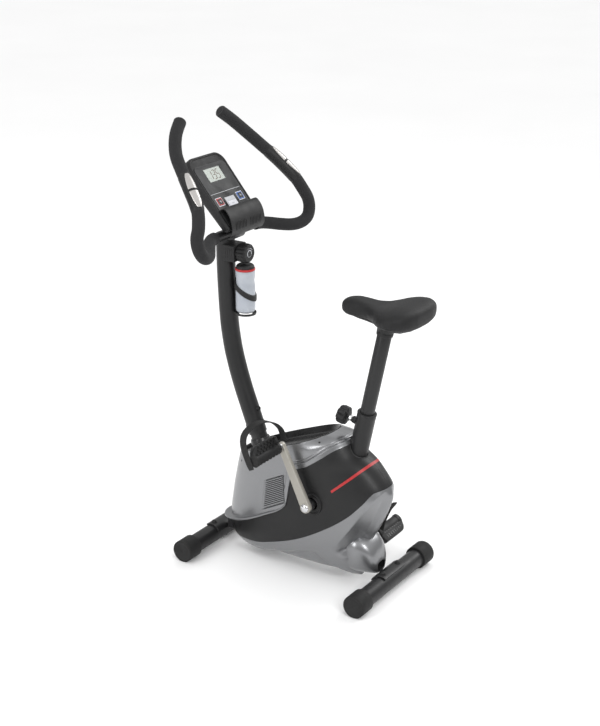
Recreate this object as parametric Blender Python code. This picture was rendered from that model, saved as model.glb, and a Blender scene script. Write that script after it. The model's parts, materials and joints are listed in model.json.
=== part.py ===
"""Upright exercise bike with a belt drive and a magnetic brake.

X points to the rider's left, the front of the bike faces -Y and Z is up.
The floor is Z = 0. Stations along Y are laid out from the middle of the
wheelbase, and BED_SHIFT then centres the whole bike on the origin.
"""
import math

import bmesh
import bpy
from mathutils import Matrix, Vector

MM = 0.001
GAP = 0.3 * MM
BED_SHIFT = -12 * MM

# ---- driving dimensions ------------------------------------------------
WHEELBASE = 550 * MM
FOOT_WIDTH = 373 * MM
FOOT_RADIUS = 25 * MM
CAP_RADIUS = 31 * MM
CAP_LENGTH = 50 * MM
CAP_SIDES = 20
TUBE_WALL = 1.6 * MM

SPINE_WIDTH = 32 * MM
SPINE_HEIGHT = 38 * MM
SPINE_Z = 62 * MM
SPINE_HALF_LENGTH = 246 * MM

CRANK_Y = 84 * MM
CRANK_Z = 233 * MM
CRANK_LENGTH = 175 * MM
CRANK_LEAN = math.radians(25.9)
CRANK_INNER_X = 107 * MM
CRANK_OUTER_X = 120 * MM
PEDAL_INNER_X = 128 * MM
PEDAL_WIDTH = 110 * MM
PEDAL_FRONT = -34 * MM
PEDAL_THICKNESS = 16 * MM
BARREL_HALF_DEEP, BARREL_HALF_TALL = 17 * MM, 11 * MM
PEDAL_TILT = {"left": math.radians(-64), "right": math.radians(140)}
STRAP_HALF_WIDTH, STRAP_THICKNESS = 9.5 * MM, 2.6 * MM
# Middle line of each strap in its pedal's own frame (mm): across, back, up.
STRAP_PATH = {
    "left": [(241, 19, -15), (241, -8, -14.5), (241, -32, -13), (239, -52, -10), (234, -68, -4),
             (224, -79, 5), (208, -85, 15), (190, -86, 23), (170, -80, 30), (151, -68, 34),
             (137, -51, 35), (129.5, -36, 31), (126.3, -22, 26), (126, -13, 22)],
    "right": [(126, 4, -19), (126.5, 9, -28), (129, 15, -39), (137, 22, -52),
              (150, 29, -65), (165, 32, -72), (180, 34, -76)],
}

POST_RADIUS = 25 * MM
STUB_RADIUS = 22.4 * MM
POST_REF = (-159 * MM, 383 * MM)
POST_LEAN = -0.385
POST_BOTTOM_Z = 352 * MM
POST_TOP_Z = 886 * MM

SEAT_REF = Vector((0, 193 * MM, 470 * MM))
SEAT_AXIS = Vector((0, 0.207, 0.9783)).normalized()
SEAT_TUBE_RADIUS = 25 * MM
SEAT_POST_RADIUS = 19 * MM
SEAT_TUBE_TOP_Z = 484 * MM
SEAT_POST_BOTTOM_Z = 300 * MM
SEAT_POST_TOP_Z = 728 * MM
PIN_Z = 452 * MM
HOLE_PITCH = 30 * MM

BAR_Y = -215 * MM
BAR_Z = 905 * MM
BAR_RADIUS = 12.7 * MM
GRIP_RADIUS = 16.5 * MM

FACE_ORIGIN = Vector((0, -243 * MM, 1009 * MM))
FACE_UP = Vector((0, -0.646, 0.763)).normalized()
FACE_OUT = Vector((0, 0.763, 0.646)).normalized()

FLYWHEEL_Y = -45 * MM
FLYWHEEL_Z = 175 * MM
FLYWHEEL_RADIUS = 92 * MM
DRIVE_PULLEY_RADIUS = 105 * MM
SMALL_PULLEY_RADIUS = 15 * MM
BELT_X = 41 * MM
BELT_WIDTH = 10 * MM

TENSION_Z = 851 * MM
BOTTLE_Y = -183 * MM
BAR_POINTS = [(0, -215, 905), (60, -215, 905), (90, -214.5, 905), (113, -209, 904),
              (135, -197, 900), (160, -179, 894), (187, -160, 890), (214, -148, 893),
              (236, -143, 905), (248, -145, 927), (247, -149, 951), (233, -154, 976),
              (214, -171, 1015), (195, -208, 1058), (176, -246, 1094), (155, -280, 1129),
              (122, -305, 1166), (83, -319, 1197)]
BAR_STEP = 33 * MM
BUTTONS = [
    ("left_button", (33, -34), (54, -14), "black_plastic"),
    ("right_button", (-54, -34), (-33, -14), "black_plastic"),
    ("centre_button", (-17, -44), (17, -31), "white_plastic"),
]
CONSOLE_BACK = [(-104, -23), (-80, -27), (-38, -38), (104, -38), (112, -34)]
TAIL_START = Vector((0, 168 * MM, 80 * MM))
TAIL_AXIS = Vector((0, 1, -0.3)).normalized()
TAIL_PROFILE = [(0, 44), (28, 45), (52, 43), (68, 38), (76, 32)]
MAGNET_RADIUS = 101 * MM
MAGNET_PIVOT_ANGLE = math.radians(60)
COVER_SECTION = [(-47, 2), (-48, 17), (-54, 20.5), (-66, 22), (-82, 20), (-97, 14), (-109, 5),
                 (-115, -4), (-118, -13)]

# ---- housing: a hull of plan sections that rise to the rear --------------
INCLINE = 0.39
RIM_LEVEL = 376 * MM
KEEL_LEVEL = -54 * MM
WALL = 2.6 * MM
ROUNDNESS = 2.4
MID_SHARE = 0.6
HULL_FRONT = [(-54, 188), (0, 51), (50, -77), (85, -167), (115, -205), (142, -222),
              (174, -228), (200, -228), (249, -221), (309, -208), (361, -195), (376, -190)]
HULL_REAR = [(-54, 192), (-18, 200), (32, 212), (71, 237), (125, 266), (160, 277),
             (190, 267), (231, 243), (264, 219), (307, 178), (334, 160), (353, 150), (376, 105)]
HULL_HALF = [(-54, 6), (-30, 36), (0, 58), (50, 76), (100, 84), (200, 88), (300, 88),
             (340, 86), (376, 82)]
SHELL_TOP = [(-260, 96), (-228, 100), (-157, 120), (-66, 165), (1, 210), (25, 314),
             (60, 330), (100, 358), (140, 388), (160, 397)]
SHELL_LOW = [(-230, 42), (-116, 58), (-47, 81), (35, 115), (127, 170), (188, 217),
             (226, 259), (250, 290), (280, 298)]
COLUMN_STATIONS = [-1, -0.97, -0.88, -0.72, -0.5, -0.34, -0.24, -0.14, -0.02, 0.2, 0.45,
                   0.66, 0.82, 0.93, 0.98, 1]


# ---- small helpers -------------------------------------------------------
def blend_curve(x, knots):
    """Smooth curve through knots (mm), with no overshoot between them."""
    x = x / MM
    if x <= knots[0][0]:
        return knots[0][1] * MM
    if x >= knots[-1][0]:
        return knots[-1][1] * MM
    index = max(i for i in range(len(knots) - 1) if knots[i][0] <= x)
    spans = [(b[0] - a[0], (b[1] - a[1]) / (b[0] - a[0])) for a, b in zip(knots, knots[1:])]

    def tangent(i):
        if i == 0 or i == len(knots) - 1:
            return spans[min(i, len(spans) - 1)][1]
        before, after = spans[i - 1][1], spans[i][1]
        if before * after <= 0:
            return 0.0
        return 2 * before * after / (before + after)

    width = spans[index][0]
    t = (x - knots[index][0]) / width
    low, high = knots[index][1], knots[index + 1][1]
    value = (low * (2 * t ** 3 - 3 * t ** 2 + 1) + high * (3 * t ** 2 - 2 * t ** 3)
             + width * tangent(index) * (t ** 3 - 2 * t ** 2 + t)
             + width * tangent(index + 1) * (t ** 3 - t ** 2))
    return value * MM


def arc(centre, radius, start, end, steps):
    """Points on an arc in a plane, angles in degrees."""
    angles = [math.radians(start + (end - start) * i / steps) for i in range(steps + 1)]
    return [(centre[0] + radius * math.cos(a), centre[1] + radius * math.sin(a)) for a in angles]


def make_material(name, colour, roughness, metallic=0.0):
    material = bpy.data.materials.new(name)
    material.use_nodes = True
    shader = material.node_tree.nodes["Principled BSDF"]
    shader.inputs["Base Color"].default_value = (*colour, 1)
    shader.inputs["Roughness"].default_value = roughness
    shader.inputs["Metallic"].default_value = metallic
    return material


FINISHES = {
    "black_paint": ((0.018, 0.018, 0.019), 0.42, 0.0),
    "black_plastic": ((0.02, 0.02, 0.02), 0.5, 0.0),
    "grey_plastic": ((0.2, 0.205, 0.215), 0.32, 0.35),
    "foam": ((0.028, 0.028, 0.03), 0.85, 0.0),
    "vinyl": ((0.022, 0.022, 0.023), 0.5, 0.0),
    "steel": ((0.55, 0.55, 0.56), 0.3, 1.0),
    "crank_alloy": ((0.42, 0.39, 0.34), 0.4, 0.7),
    "iron": ((0.12, 0.12, 0.125), 0.5, 0.8),
    "rubber": ((0.015, 0.015, 0.015), 0.75, 0.0),
    "bottle": ((0.55, 0.57, 0.6), 0.3, 0.0),
    "display": ((0.36, 0.42, 0.36), 0.2, 0.0),
    "white_plastic": ((0.75, 0.76, 0.8), 0.4, 0.0),
}


def finish_mesh(bm):
    bmesh.ops.recalc_face_normals(bm, faces=bm.faces)


def add_object(name, bm, finish, pivot=None, sharp=35, cutter=False):
    """Turn a bmesh in world coordinates into an object, on its pivot if it moves."""
    finish_mesh(bm)
    mesh = bpy.data.meshes.new(name)
    if pivot is not None:
        bmesh.ops.translate(bm, verts=bm.verts, vec=-pivot.location)
    bm.to_mesh(mesh)
    bm.free()
    mesh.shade_smooth()
    mesh.set_sharp_from_angle(angle=math.radians(sharp))
    thing = bpy.data.objects.new(name, mesh)
    bpy.context.scene.collection.objects.link(thing)
    if pivot is not None:
        thing.parent = pivot
    if cutter:
        thing.hide_render = True
        thing.display_type = "WIRE"
    else:
        mesh.materials.append(MATERIALS[finish])
    return thing


def add_pivot(name, point, turn_x=0.0):
    empty = bpy.data.objects.new(name, None)
    empty.location = point
    empty.rotation_euler = (turn_x, 0, 0)
    bpy.context.scene.collection.objects.link(empty)
    return empty


def combine(thing, bm, operation, pivot=None):
    """Join to a piece, or cut from it, the solid in bm."""
    tool = add_object(thing.name + "_tool", bm, None, pivot, cutter=True)
    modifier = thing.modifiers.new(operation.lower(), "BOOLEAN")
    modifier.operation = operation
    modifier.solver = "EXACT"
    modifier.object = tool
    return tool


def loft(rings, wrap=False):
    """Skin a row of point rings; wrap joins the last ring to the first."""
    bm = bmesh.new()
    rows = [[bm.verts.new(point) for point in ring] for ring in rings]
    pairs = list(zip(rows, rows[1:]))
    if wrap:
        pairs.append((rows[-1], rows[0]))
    count = len(rows[0])
    for low, high in pairs:
        for i in range(count):
            after = (i + 1) % count
            bm.faces.new((low[i], low[after], high[after], high[i]))
    if not wrap:
        bm.faces.new(rows[0])
        bm.faces.new(rows[-1])
    return bm


def axis_frame(axis):
    """Two directions square to an axis; the first is +X where it can be."""
    axis = Vector(axis).normalized()
    side = Vector((1, 0, 0))
    if abs(axis.x) > 0.9:
        side = Vector((0, 1, 0))
    side = (side - axis * side.dot(axis)).normalized()
    return axis, side, axis.cross(side)


def turn(profile, origin, axis, sides=20, wrap=False, lobes=0, start=0.0):
    """Turned solid from (along, radius[, lobe depth]) points about an axis."""
    axis, side, up = axis_frame(axis)
    rings = []
    for station in profile:
        along, radius = station[0], station[1]
        depth = station[2] if len(station) > 2 else 0
        ring = []
        for i in range(sides):
            angle = start + 2 * math.pi * i / sides
            reach = radius - depth * (0.5 - 0.5 * math.cos(lobes * angle))
            offset = side * math.cos(angle) * reach + up * math.sin(angle) * reach
            ring.append(Vector(origin) + axis * along + offset)
        rings.append(ring)
    return loft(rings, wrap)


def rod(origin, axis, start, end, radius, sides=20):
    return turn([(start, radius), (end, radius)], origin, axis, sides)


def pipe(origin, axis, start, end, outer, inner, sides=20):
    profile = [(start, inner), (start, outer), (end, outer), (end, inner)]
    return turn(profile, origin, axis, sides, wrap=True)


def sweep(points, radius, sides, inner=None):
    """Round bar, or a pipe if inner is given, along points in space."""
    outer_rings, inner_rings = [], []
    side = None
    for i, point in enumerate(points):
        ahead = points[min(i + 1, len(points) - 1)] - points[max(i - 1, 0)]
        tangent = ahead.normalized()
        if side is None:
            side = axis_frame(tangent)[1]
        side = (side - tangent * side.dot(tangent)).normalized()
        up = tangent.cross(side)
        spokes = [side * math.cos(2 * math.pi * k / sides) + up * math.sin(2 * math.pi * k / sides)
                  for k in range(sides)]
        outer_rings.append([point + spoke * radius for spoke in spokes])
        if inner:
            inner_rings.append([point + spoke * inner for spoke in spokes])
    if inner:
        return loft(outer_rings + inner_rings[::-1], wrap=True)
    return loft(outer_rings)


def block(low, high, bevel=0.0, segments=1):
    bm = bmesh.new()
    bmesh.ops.create_cube(bm, size=1)
    low, high = Vector(low), Vector(high)
    size = high - low
    bmesh.ops.scale(bm, verts=bm.verts, vec=size)
    bmesh.ops.translate(bm, verts=bm.verts, vec=(low + high) / 2)
    if bevel:
        bmesh.ops.bevel(bm, geom=list(bm.edges), offset=bevel, segments=segments,
                        profile=0.5, affect="EDGES")
    return bm


def prism(outline, place, start, end):
    """Extrude a flat outline; place maps (u, v, depth) to a point."""
    rings = [[place(u, v, depth) for u, v in outline] for depth in (start, end)]
    return loft(rings)


def rounded_outline(half_u, low_v, high_v, radius, steps=5, low_radius=None):
    """Rectangle with round corners, its lower two with their own radius."""
    low_radius = radius if low_radius is None else low_radius
    points = arc((half_u - radius, high_v - radius), radius, 0, 90, steps)
    points += arc((-half_u + radius, high_v - radius), radius, 90, 180, steps)
    points += arc((-half_u + low_radius, low_v + low_radius), low_radius, 180, 270, steps)
    points += arc((half_u - low_radius, low_v + low_radius), low_radius, 270, 360, steps)
    return points


def belt_outline(centre_a, radius_a, centre_b, radius_b, steps=12):
    """Outline of a band pulled round two circles, in the YZ plane."""
    dy, dz = centre_b[0] - centre_a[0], centre_b[1] - centre_a[1]
    span = math.hypot(dy, dz)
    heading = math.degrees(math.atan2(dz, dy))
    lead = math.degrees(math.acos((radius_a - radius_b) / span))
    points = arc(centre_a, radius_a, heading + lead, heading + 360 - lead, steps * 2)
    points += arc(centre_b, radius_b, heading - lead, heading + lead, steps)
    return points


def side_point(u, v, depth):
    return Vector((depth, u, v))


def face_point(u, v, depth):
    return FACE_ORIGIN + Vector((u, 0, 0)) + FACE_UP * v + FACE_OUT * depth


# ---- housing -------------------------------------------------------------
def hull_point(angle, level):
    """Outer skin of the housing; angle 0 is the nose and pi the tail."""
    front = blend_curve(level, HULL_FRONT)
    rear = blend_curve(level, HULL_REAR)
    middle = front + MID_SHARE * (rear - front)
    reach = middle - front if math.cos(angle) > 0 else rear - middle
    power = 2 / ROUNDNESS
    cosine, sine = math.cos(angle), abs(math.sin(angle))
    y = middle - math.copysign(abs(cosine) ** power, cosine) * reach
    x = blend_curve(level, HULL_HALF) * sine ** power
    return Vector((x, y, level + INCLINE * y))


def column_angle(station):
    """Angle at which the hull stands at this share of its length."""
    power = ROUNDNESS / 2
    cosine = math.copysign(min(abs(station), 1) ** power, -station)
    return math.acos(max(-1, min(1, cosine)))


def level_on(angle, boundary):
    """Level at which a column of the hull crosses a boundary line."""
    low, high = KEEL_LEVEL, RIM_LEVEL
    for _ in range(40):
        middle = (low + high) / 2
        point = hull_point(angle, middle)
        if point.z < blend_curve(point.y, boundary):
            low = middle
        else:
            high = middle
    return (low + high) / 2


def hull_patch(side, bottom, top, rows, trim_bottom=0.0, trim_top=0.0):
    """Thin closed wall of one housing half between two boundary lines."""
    outer, inner = [], []
    for station in COLUMN_STATIONS:
        angle = column_angle(station)
        low = level_on(angle, bottom) if bottom else KEEL_LEVEL
        high = level_on(angle, top) if top else RIM_LEVEL
        low, high = low + trim_bottom, high - trim_top
        high = max(high, low + 4 * MM)
        column, lining = [], []
        for row in range(rows + 1):
            level = low + (high - low) * row / rows
            point = hull_point(angle, level)
            column.append(point)
            lining.append(lining_point(angle, level))
        outer.append(column)
        inner.append(lining)
    flip = Vector((side, 1, 1))
    shift = Vector((side * GAP, 0, 0))
    rings = [[Vector(p * flip) + shift for p in skin + back[::-1]]
             for skin, back in zip(outer, inner)]
    return loft(rings)


def lining_point(angle, level):
    """Inner skin, one wall inside the hull, kept off the middle plane."""
    point = hull_point(angle, level)
    step = 0.02
    around = (hull_point(min(angle + step, math.pi), level)
              - hull_point(max(angle - step, 0), level))
    rise = hull_point(angle, level + MM) - hull_point(angle, level - MM)
    normal = around.cross(rise).normalized()
    if normal.x < 0 or (abs(normal.x) < 1e-6 and normal.y * math.cos(angle) > 0):
        normal.negate()
    moved = point - normal * WALL
    moved.x = max(moved.x, 0.0)
    return moved


def build_housing():
    hub_hole = rod((0, CRANK_Y, CRANK_Z), (1, 0, 0), -150 * MM, 150 * MM, 17 * MM)
    for side, word in ((1, "left"), (-1, "right")):
        cover = add_object("upper_cover_" + word,
                           hull_patch(side, SHELL_TOP, None, 3, trim_bottom=GAP), "grey_plastic")
        shell = add_object("side_shell_" + word,
                           hull_patch(side, SHELL_LOW, SHELL_TOP, 5, GAP, GAP), "black_plastic")
        skirt = add_object("lower_skirt_" + word,
                           hull_patch(side, None, SHELL_LOW, 4, trim_top=GAP), "grey_plastic")
        for piece in (cover, shell):
            combine(piece, rod(SEAT_REF, SEAT_AXIS, -160 * MM, 60 * MM,
                               SEAT_TUBE_RADIUS + 0.8 * MM, 24), "DIFFERENCE")
        combine(shell, hub_hole.copy(), "DIFFERENCE")
        combine(skirt, tail_solid(0.6 * MM), "DIFFERENCE")
        for piece in (shell, skirt):
            combine(piece, spine_block(1.5 * MM), "DIFFERENCE")
    hub_hole.free()
    add_object("tail_cover", tail_shell(), "grey_plastic")
    add_object("top_tray", tray(), "black_plastic")
    add_object("front_lip", front_lip(), "grey_plastic")


def tail_solid(grow):
    profile = [(along * MM, radius * MM + grow) for along, radius in TAIL_PROFILE]
    return turn([(-2 * MM, profile[0][1])] + profile[1:], TAIL_START, TAIL_AXIS, 20)


def tail_shell():
    outer = [(along * MM, radius * MM) for along, radius in TAIL_PROFILE]
    inner = [(along, radius - WALL) for along, radius in outer[::-1]]
    return turn(outer + inner, TAIL_START, TAIL_AXIS, 20, wrap=True)


def rim_ring(inset, level, count=28):
    """Closed outline of the housing's rim, drawn in by an inset."""
    ring = []
    centre = Vector((0, hull_point(math.pi / 2, RIM_LEVEL).y, 0))
    for i in range(count):
        angle = 2 * math.pi * i / count
        point = hull_point(math.pi - abs(math.pi - angle), RIM_LEVEL)
        if angle > math.pi:
            point.x = -point.x
        inward = Vector((centre.x - point.x, centre.y - point.y, 0)).normalized()
        point = point + inward * inset
        point.z = level + INCLINE * point.y
        ring.append(point)
    return ring


def post_axis_point(z):
    return Vector((0, POST_REF[0] + POST_LEAN * (z - POST_REF[1]), z))


def post_ring(radius, z, count=28):
    """Circle round the front post, numbered like the rim's outline."""
    axis = Vector((0, POST_LEAN, 1)).normalized()
    _, side, up = axis_frame(axis)
    centre = post_axis_point(z)
    ring = []
    for i in range(count):
        angle = 2 * math.pi * i / count
        ring.append(centre + side * math.sin(angle) * radius - up * math.cos(angle) * radius)
    return ring


def tray():
    """Recessed top of the housing with a collar round the post."""
    depth = 20 * MM
    floor = RIM_LEVEL - depth
    inset = WALL + 3.2 * MM
    collar_low, collar_high = 306 * MM, 338 * MM
    upper = [rim_ring(inset, RIM_LEVEL), rim_ring(inset + 9 * MM, floor),
             post_ring(31 * MM, collar_low + 3 * MM), post_ring(26.5 * MM, collar_high)]
    lower = [post_ring(23.5 * MM, collar_high), post_ring(23.5 * MM, collar_low),
             rim_ring(inset + 9 * MM + 1.5 * MM, floor - WALL),
             rim_ring(inset + 2 * MM, RIM_LEVEL - 6 * MM)]
    bm = loft(upper + lower, wrap=True)
    bmesh.ops.triangulate(bm, faces=bm.faces)
    return bm


def front_lip():
    """Ledge round the foot of the front cover, deepest at the nose."""
    end_angle = column_angle(-0.12)
    steps = 9
    angles = [end_angle * (i / steps) for i in range(-steps, steps + 1)]
    rings = []
    for angle in angles:
        share = 1 - abs(angle) / end_angle
        reach = (3 + 20 * share ** 0.8) * MM
        thick = (5 + 4 * share) * MM
        point = hull_point(abs(angle), level_on(abs(angle), SHELL_TOP))
        ahead = hull_point(abs(angle) + 0.02, level_on(abs(angle) + 0.02, SHELL_TOP))
        run = Vector((ahead.x - point.x, ahead.y - point.y, 0))
        out = Vector((-run.y, run.x, 0)).normalized()
        if out.dot(Vector((point.x, -0.01, 0))) < 0:
            out.negate()
        if angle < 0:
            point.x, out.x = -point.x, -out.x
        if abs(angle) < 1e-6:
            out = Vector((0, -1, 0))
        start = point + out * 1.4 * MM
        tip = point + out * reach
        down = Vector((0, 0, -thick))
        rings.append([start, tip, tip + down * 0.7, start + down])
    return loft(rings)


# ---- frame ---------------------------------------------------------------
def spine_block(grow=0.0):
    half, tall = SPINE_WIDTH / 2 + grow, SPINE_HEIGHT / 2 + grow
    return block((-half, -SPINE_HALF_LENGTH, SPINE_Z - tall),
                 (half, SPINE_HALF_LENGTH, SPINE_Z + tall), max(3 * MM - grow, MM))


def build_frame():
    spine = add_object("frame_spine", spine_block(), "black_paint")
    bore = spine_block(-TUBE_WALL)
    for vert in bore.verts:
        vert.co.y *= 1.05
    combine(spine, bore, "DIFFERENCE")
    build_post_socket()
    build_seat_tube()
    build_bottom_bracket()
    for direction, word in ((-1, "front"), (1, "rear")):
        build_foot(direction, word)


def build_post_socket():
    axis = Vector((0, POST_LEAN, 1)).normalized()
    start = post_axis_point(91 * MM)
    length = (430 - 91) * MM / axis.z
    socket = add_object("post_socket", pipe(start, axis, 0, length, STUB_RADIUS,
                                            STUB_RADIUS - 2.2 * MM), "black_paint")
    hub = (0, FLYWHEEL_Y, FLYWHEEL_Z)
    combine(socket, pipe(hub, (1, 0, 0), -20 * MM, 20 * MM, 14.5 * MM, 6.6 * MM), "UNION")


def build_seat_tube():
    start_z = 88 * MM
    start = (start_z - SEAT_REF.z) / SEAT_AXIS.z
    end = (SEAT_TUBE_TOP_Z - SEAT_REF.z) / SEAT_AXIS.z
    tube = add_object("seat_tube", pipe(SEAT_REF, SEAT_AXIS, start, end, SEAT_TUBE_RADIUS,
                                        SEAT_TUBE_RADIUS - 2 * MM), "black_paint")
    liner = add_object("seat_liner", turn(
        [(end - 70 * MM, 19.4 * MM), (end - 70 * MM, 22.7 * MM), (end + GAP, 22.7 * MM),
         (end + GAP, 25.2 * MM), (end + 3 * MM, 25.2 * MM), (end + 4 * MM, 24 * MM),
         (end + 4 * MM, 19.4 * MM)], SEAT_REF, SEAT_AXIS, 24, wrap=True), "black_plastic")
    hole = pin_origin()
    combine(tube, rod(hole, pin_axis(), 23.6 * MM, 36 * MM, 9 * MM, 16), "UNION")
    for piece in (tube, liner):
        combine(piece, rod(hole, pin_axis(), 10 * MM, 60 * MM, 4.8 * MM, 12), "DIFFERENCE")


def pin_origin():
    return SEAT_REF + SEAT_AXIS * ((PIN_Z - SEAT_REF.z) / SEAT_AXIS.z)


def pin_axis():
    """Pull direction of the seat pin, forward and square to the seat tube."""
    return Vector((0, -SEAT_AXIS.z, SEAT_AXIS.y))


def build_bottom_bracket():
    centre = (0, CRANK_Y, CRANK_Z)
    bracket = add_object("bottom_bracket", pipe(centre, (1, 0, 0), -32 * MM, 32 * MM,
                                                20 * MM, 10.6 * MM), "black_paint")
    combine(bracket, block((-10 * MM, 101 * MM, 226 * MM), (10 * MM, 114 * MM, 240 * MM)), "UNION")
    combine(bracket, block((-4 * MM, 60 * MM, 81.5 * MM), (4 * MM, 83 * MM, 217 * MM)), "UNION")
    pivot_y, pivot_z = magnet_pivot()
    bar = belt_outline((pivot_y, pivot_z), 6 * MM,
                       (CRANK_Y - 15 * MM, CRANK_Z + 5 * MM), 4.5 * MM, 4)
    combine(bracket, prism(bar, side_point, -30 * MM, -26 * MM), "UNION")
    combine(bracket, rod((0, pivot_y, pivot_z), (1, 0, 0), -51 * MM, -28 * MM, 3 * MM, 12), "UNION")


def build_foot(direction, word):
    y = direction * WHEELBASE / 2
    centre = (0, y, CAP_RADIUS)
    half = FOOT_WIDTH / 2
    add_object(word + "_stabiliser", pipe(centre, (1, 0, 0), -half + 4 * MM, half - 4 * MM,
                                          FOOT_RADIUS, FOOT_RADIUS - TUBE_WALL), "black_paint")
    for side, name in ((1, "left"), (-1, "right")):
        inner = half - CAP_LENGTH
        bore = FOOT_RADIUS + GAP
        profile = [(inner, bore), (inner, CAP_RADIUS - MM), (inner + MM, CAP_RADIUS),
                   (half - MM, CAP_RADIUS), (half, CAP_RADIUS - MM), (half, 6 * MM),
                   (half - 3 * MM, 6 * MM), (half - 3 * MM, bore)]
        profile = [(side * along, radius / math.cos(math.pi / CAP_SIDES))
                   for along, radius in profile]
        cap = turn(profile, centre, (1, 0, 0), CAP_SIDES, wrap=True, start=math.pi / CAP_SIDES)
        add_object(word + "_cap_" + name, cap, "rubber")
    build_saddle_bracket(direction, word, y)


def build_saddle_bracket(direction, word, y):
    """Curved plate between the spine and a foot tube, with its two bolts."""
    low, high = FOOT_RADIUS + GAP, FOOT_RADIUS + 5 * MM
    start, end = (55, 160) if direction > 0 else (20, 125)
    outline = arc((y, CAP_RADIUS), high, start, end, 10)
    outline += arc((y, CAP_RADIUS), low, end, start, 10)
    half = 52 * MM
    plate = add_object(word + "_saddle", prism(outline, side_point, -half, half), "black_paint")
    for side in (-1, 1):
        base = (side * 38 * MM, y, CAP_RADIUS)
        profile = [(high - 2 * MM, 6 * MM), (high + 2 * MM, 7.5 * MM), (high + 8 * MM, 7 * MM),
                   (high + 10 * MM, 4 * MM)]
        combine(plate, turn(profile, base, (0, 0, 1), 12), "UNION")


# ---- front post and what it carries --------------------------------------
def post_centre(z):
    knots = [(352, post_axis_point(352 * MM).y / MM), (400, post_axis_point(400 * MM).y / MM),
             (440, post_axis_point(440 * MM).y / MM), (465, -190.6), (507, -205), (549, -217.5),
             (586, -226.5), (651, -236.5), (712, -241), (811, -245), (886, -246)]
    return Vector((0, blend_curve(z, knots), z))


def build_post():
    heights = [352, 400, 440, 475, 510, 545, 585, 630, 680, 740, 811, 886]
    points = [post_centre(height * MM) for height in heights]
    add_object("front_post", sweep(points, POST_RADIUS, 18, POST_RADIUS - 1.8 * MM), "black_paint")
    axis = Vector((0, POST_LEAN, 1)).normalized()
    square = Vector((0, axis.z, -axis.y))
    for name, height, way in (("upper", 412, 1), ("lower", 377, 1), ("front", 374, -1)):
        profile = [(POST_RADIUS + GAP, 7 * MM), (POST_RADIUS + 3 * MM, 7 * MM),
                   (POST_RADIUS + 6 * MM, 4.5 * MM)]
        add_object("post_bolt_" + name, turn(profile, post_axis_point(height * MM),
                                             square * way, 14), "rubber")


def build_tension_control():
    y_low, y_high = -236 * MM, -199 * MM
    box = add_object("tension_bracket", block((-28 * MM, y_low, 828 * MM),
                                              (28 * MM, y_high, 872 * MM), 3 * MM, 2), "black_plastic")
    combine(box, rod(post_centre(850 * MM), (0, 0.01, 1), -60 * MM, 60 * MM,
                     POST_RADIUS + 1.2 * MM, 32), "DIFFERENCE")
    combine(box, rod((0, y_high, TENSION_Z), (0, 1, 0), -10 * MM, 10 * MM, 5.5 * MM, 12),
            "DIFFERENCE")
    pivot = add_pivot("tension_axis", Vector((0, y_high, TENSION_Z)))
    profile = [(-9 * MM, 5 * MM, 0), (0.5 * MM, 5 * MM, 0), (0.5 * MM, 23 * MM, 0),
               (3 * MM, 26 * MM, 3 * MM), (27 * MM, 26 * MM, 3 * MM), (33 * MM, 22 * MM, 1 * MM),
               (33 * MM, 17 * MM, 0)]
    add_object("tension_knob", turn(profile, (0, y_high, TENSION_Z), (0, 1, 0), 40, lobes=10),
               "black_plastic", pivot)


def build_bottle():
    centre = (0, BOTTLE_Y, 0)
    profile = [(690, 20), (694, 25), (700, 26), (764, 26), (774, 24.3), (783, 24.3), (792, 26),
               (805, 26), (806, 26.5), (811, 26.5), (812, 24), (817, 23), (821, 19)]
    add_object("water_bottle", turn([(z * MM, r * MM) for z, r in profile], centre, (0, 0, 1), 18),
               "bottle")
    cage = add_object("bottle_cage", block((-7 * MM, -213.6 * MM, 684 * MM),
                                           (7 * MM, -210 * MM, 800 * MM), 1 * MM), "black_plastic")
    combine(cage, turn([(684 * MM, 25 * MM), (689.5 * MM, 27.5 * MM)], centre, (0, 0, 1), 24),
            "UNION")
    band = pipe(centre, (0, 0, 1), 740 * MM, 755 * MM, 29.6 * MM, 26.7 * MM, 28)
    for vert in band.verts:
        vert.co.z += -0.55 * (vert.co.y - BOTTLE_Y)
    combine(cage, band, "UNION")


# ---- handlebar and console -------------------------------------------------


def bar_path():
    """Evenly spaced points on the handlebar's centre line, right tip to left tip."""
    half = [Vector(p) * MM for p in BAR_POINTS]
    mirrored = [Vector((-p.x, p.y, p.z)) for p in half[:0:-1]]
    nodes = mirrored + half
    fine = []
    for i in range(len(nodes) - 1):
        before = nodes[max(i - 1, 0)]
        after = nodes[min(i + 2, len(nodes) - 1)]
        start, end = nodes[i], nodes[i + 1]
        for k in range(8):
            t = k / 8
            fine.append(0.5 * ((2 * start) + (end - before) * t
                               + (2 * before - 5 * start + 4 * end - after) * t ** 2
                               + (3 * start - before - 3 * end + after) * t ** 3))
    fine.append(nodes[-1])
    lengths = [0.0]
    for low, high in zip(fine, fine[1:]):
        lengths.append(lengths[-1] + (high - low).length)
    count = 2 * round(lengths[-1] / BAR_STEP / 2)
    path = []
    for i in range(count + 1):
        target = lengths[-1] * i / count
        k = max(j for j in range(len(fine)) if lengths[j] <= target + 1e-9)
        k = min(k, len(fine) - 2)
        share = (target - lengths[k]) / (lengths[k + 1] - lengths[k])
        path.append(fine[k].lerp(fine[k + 1], share))
    return path


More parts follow.
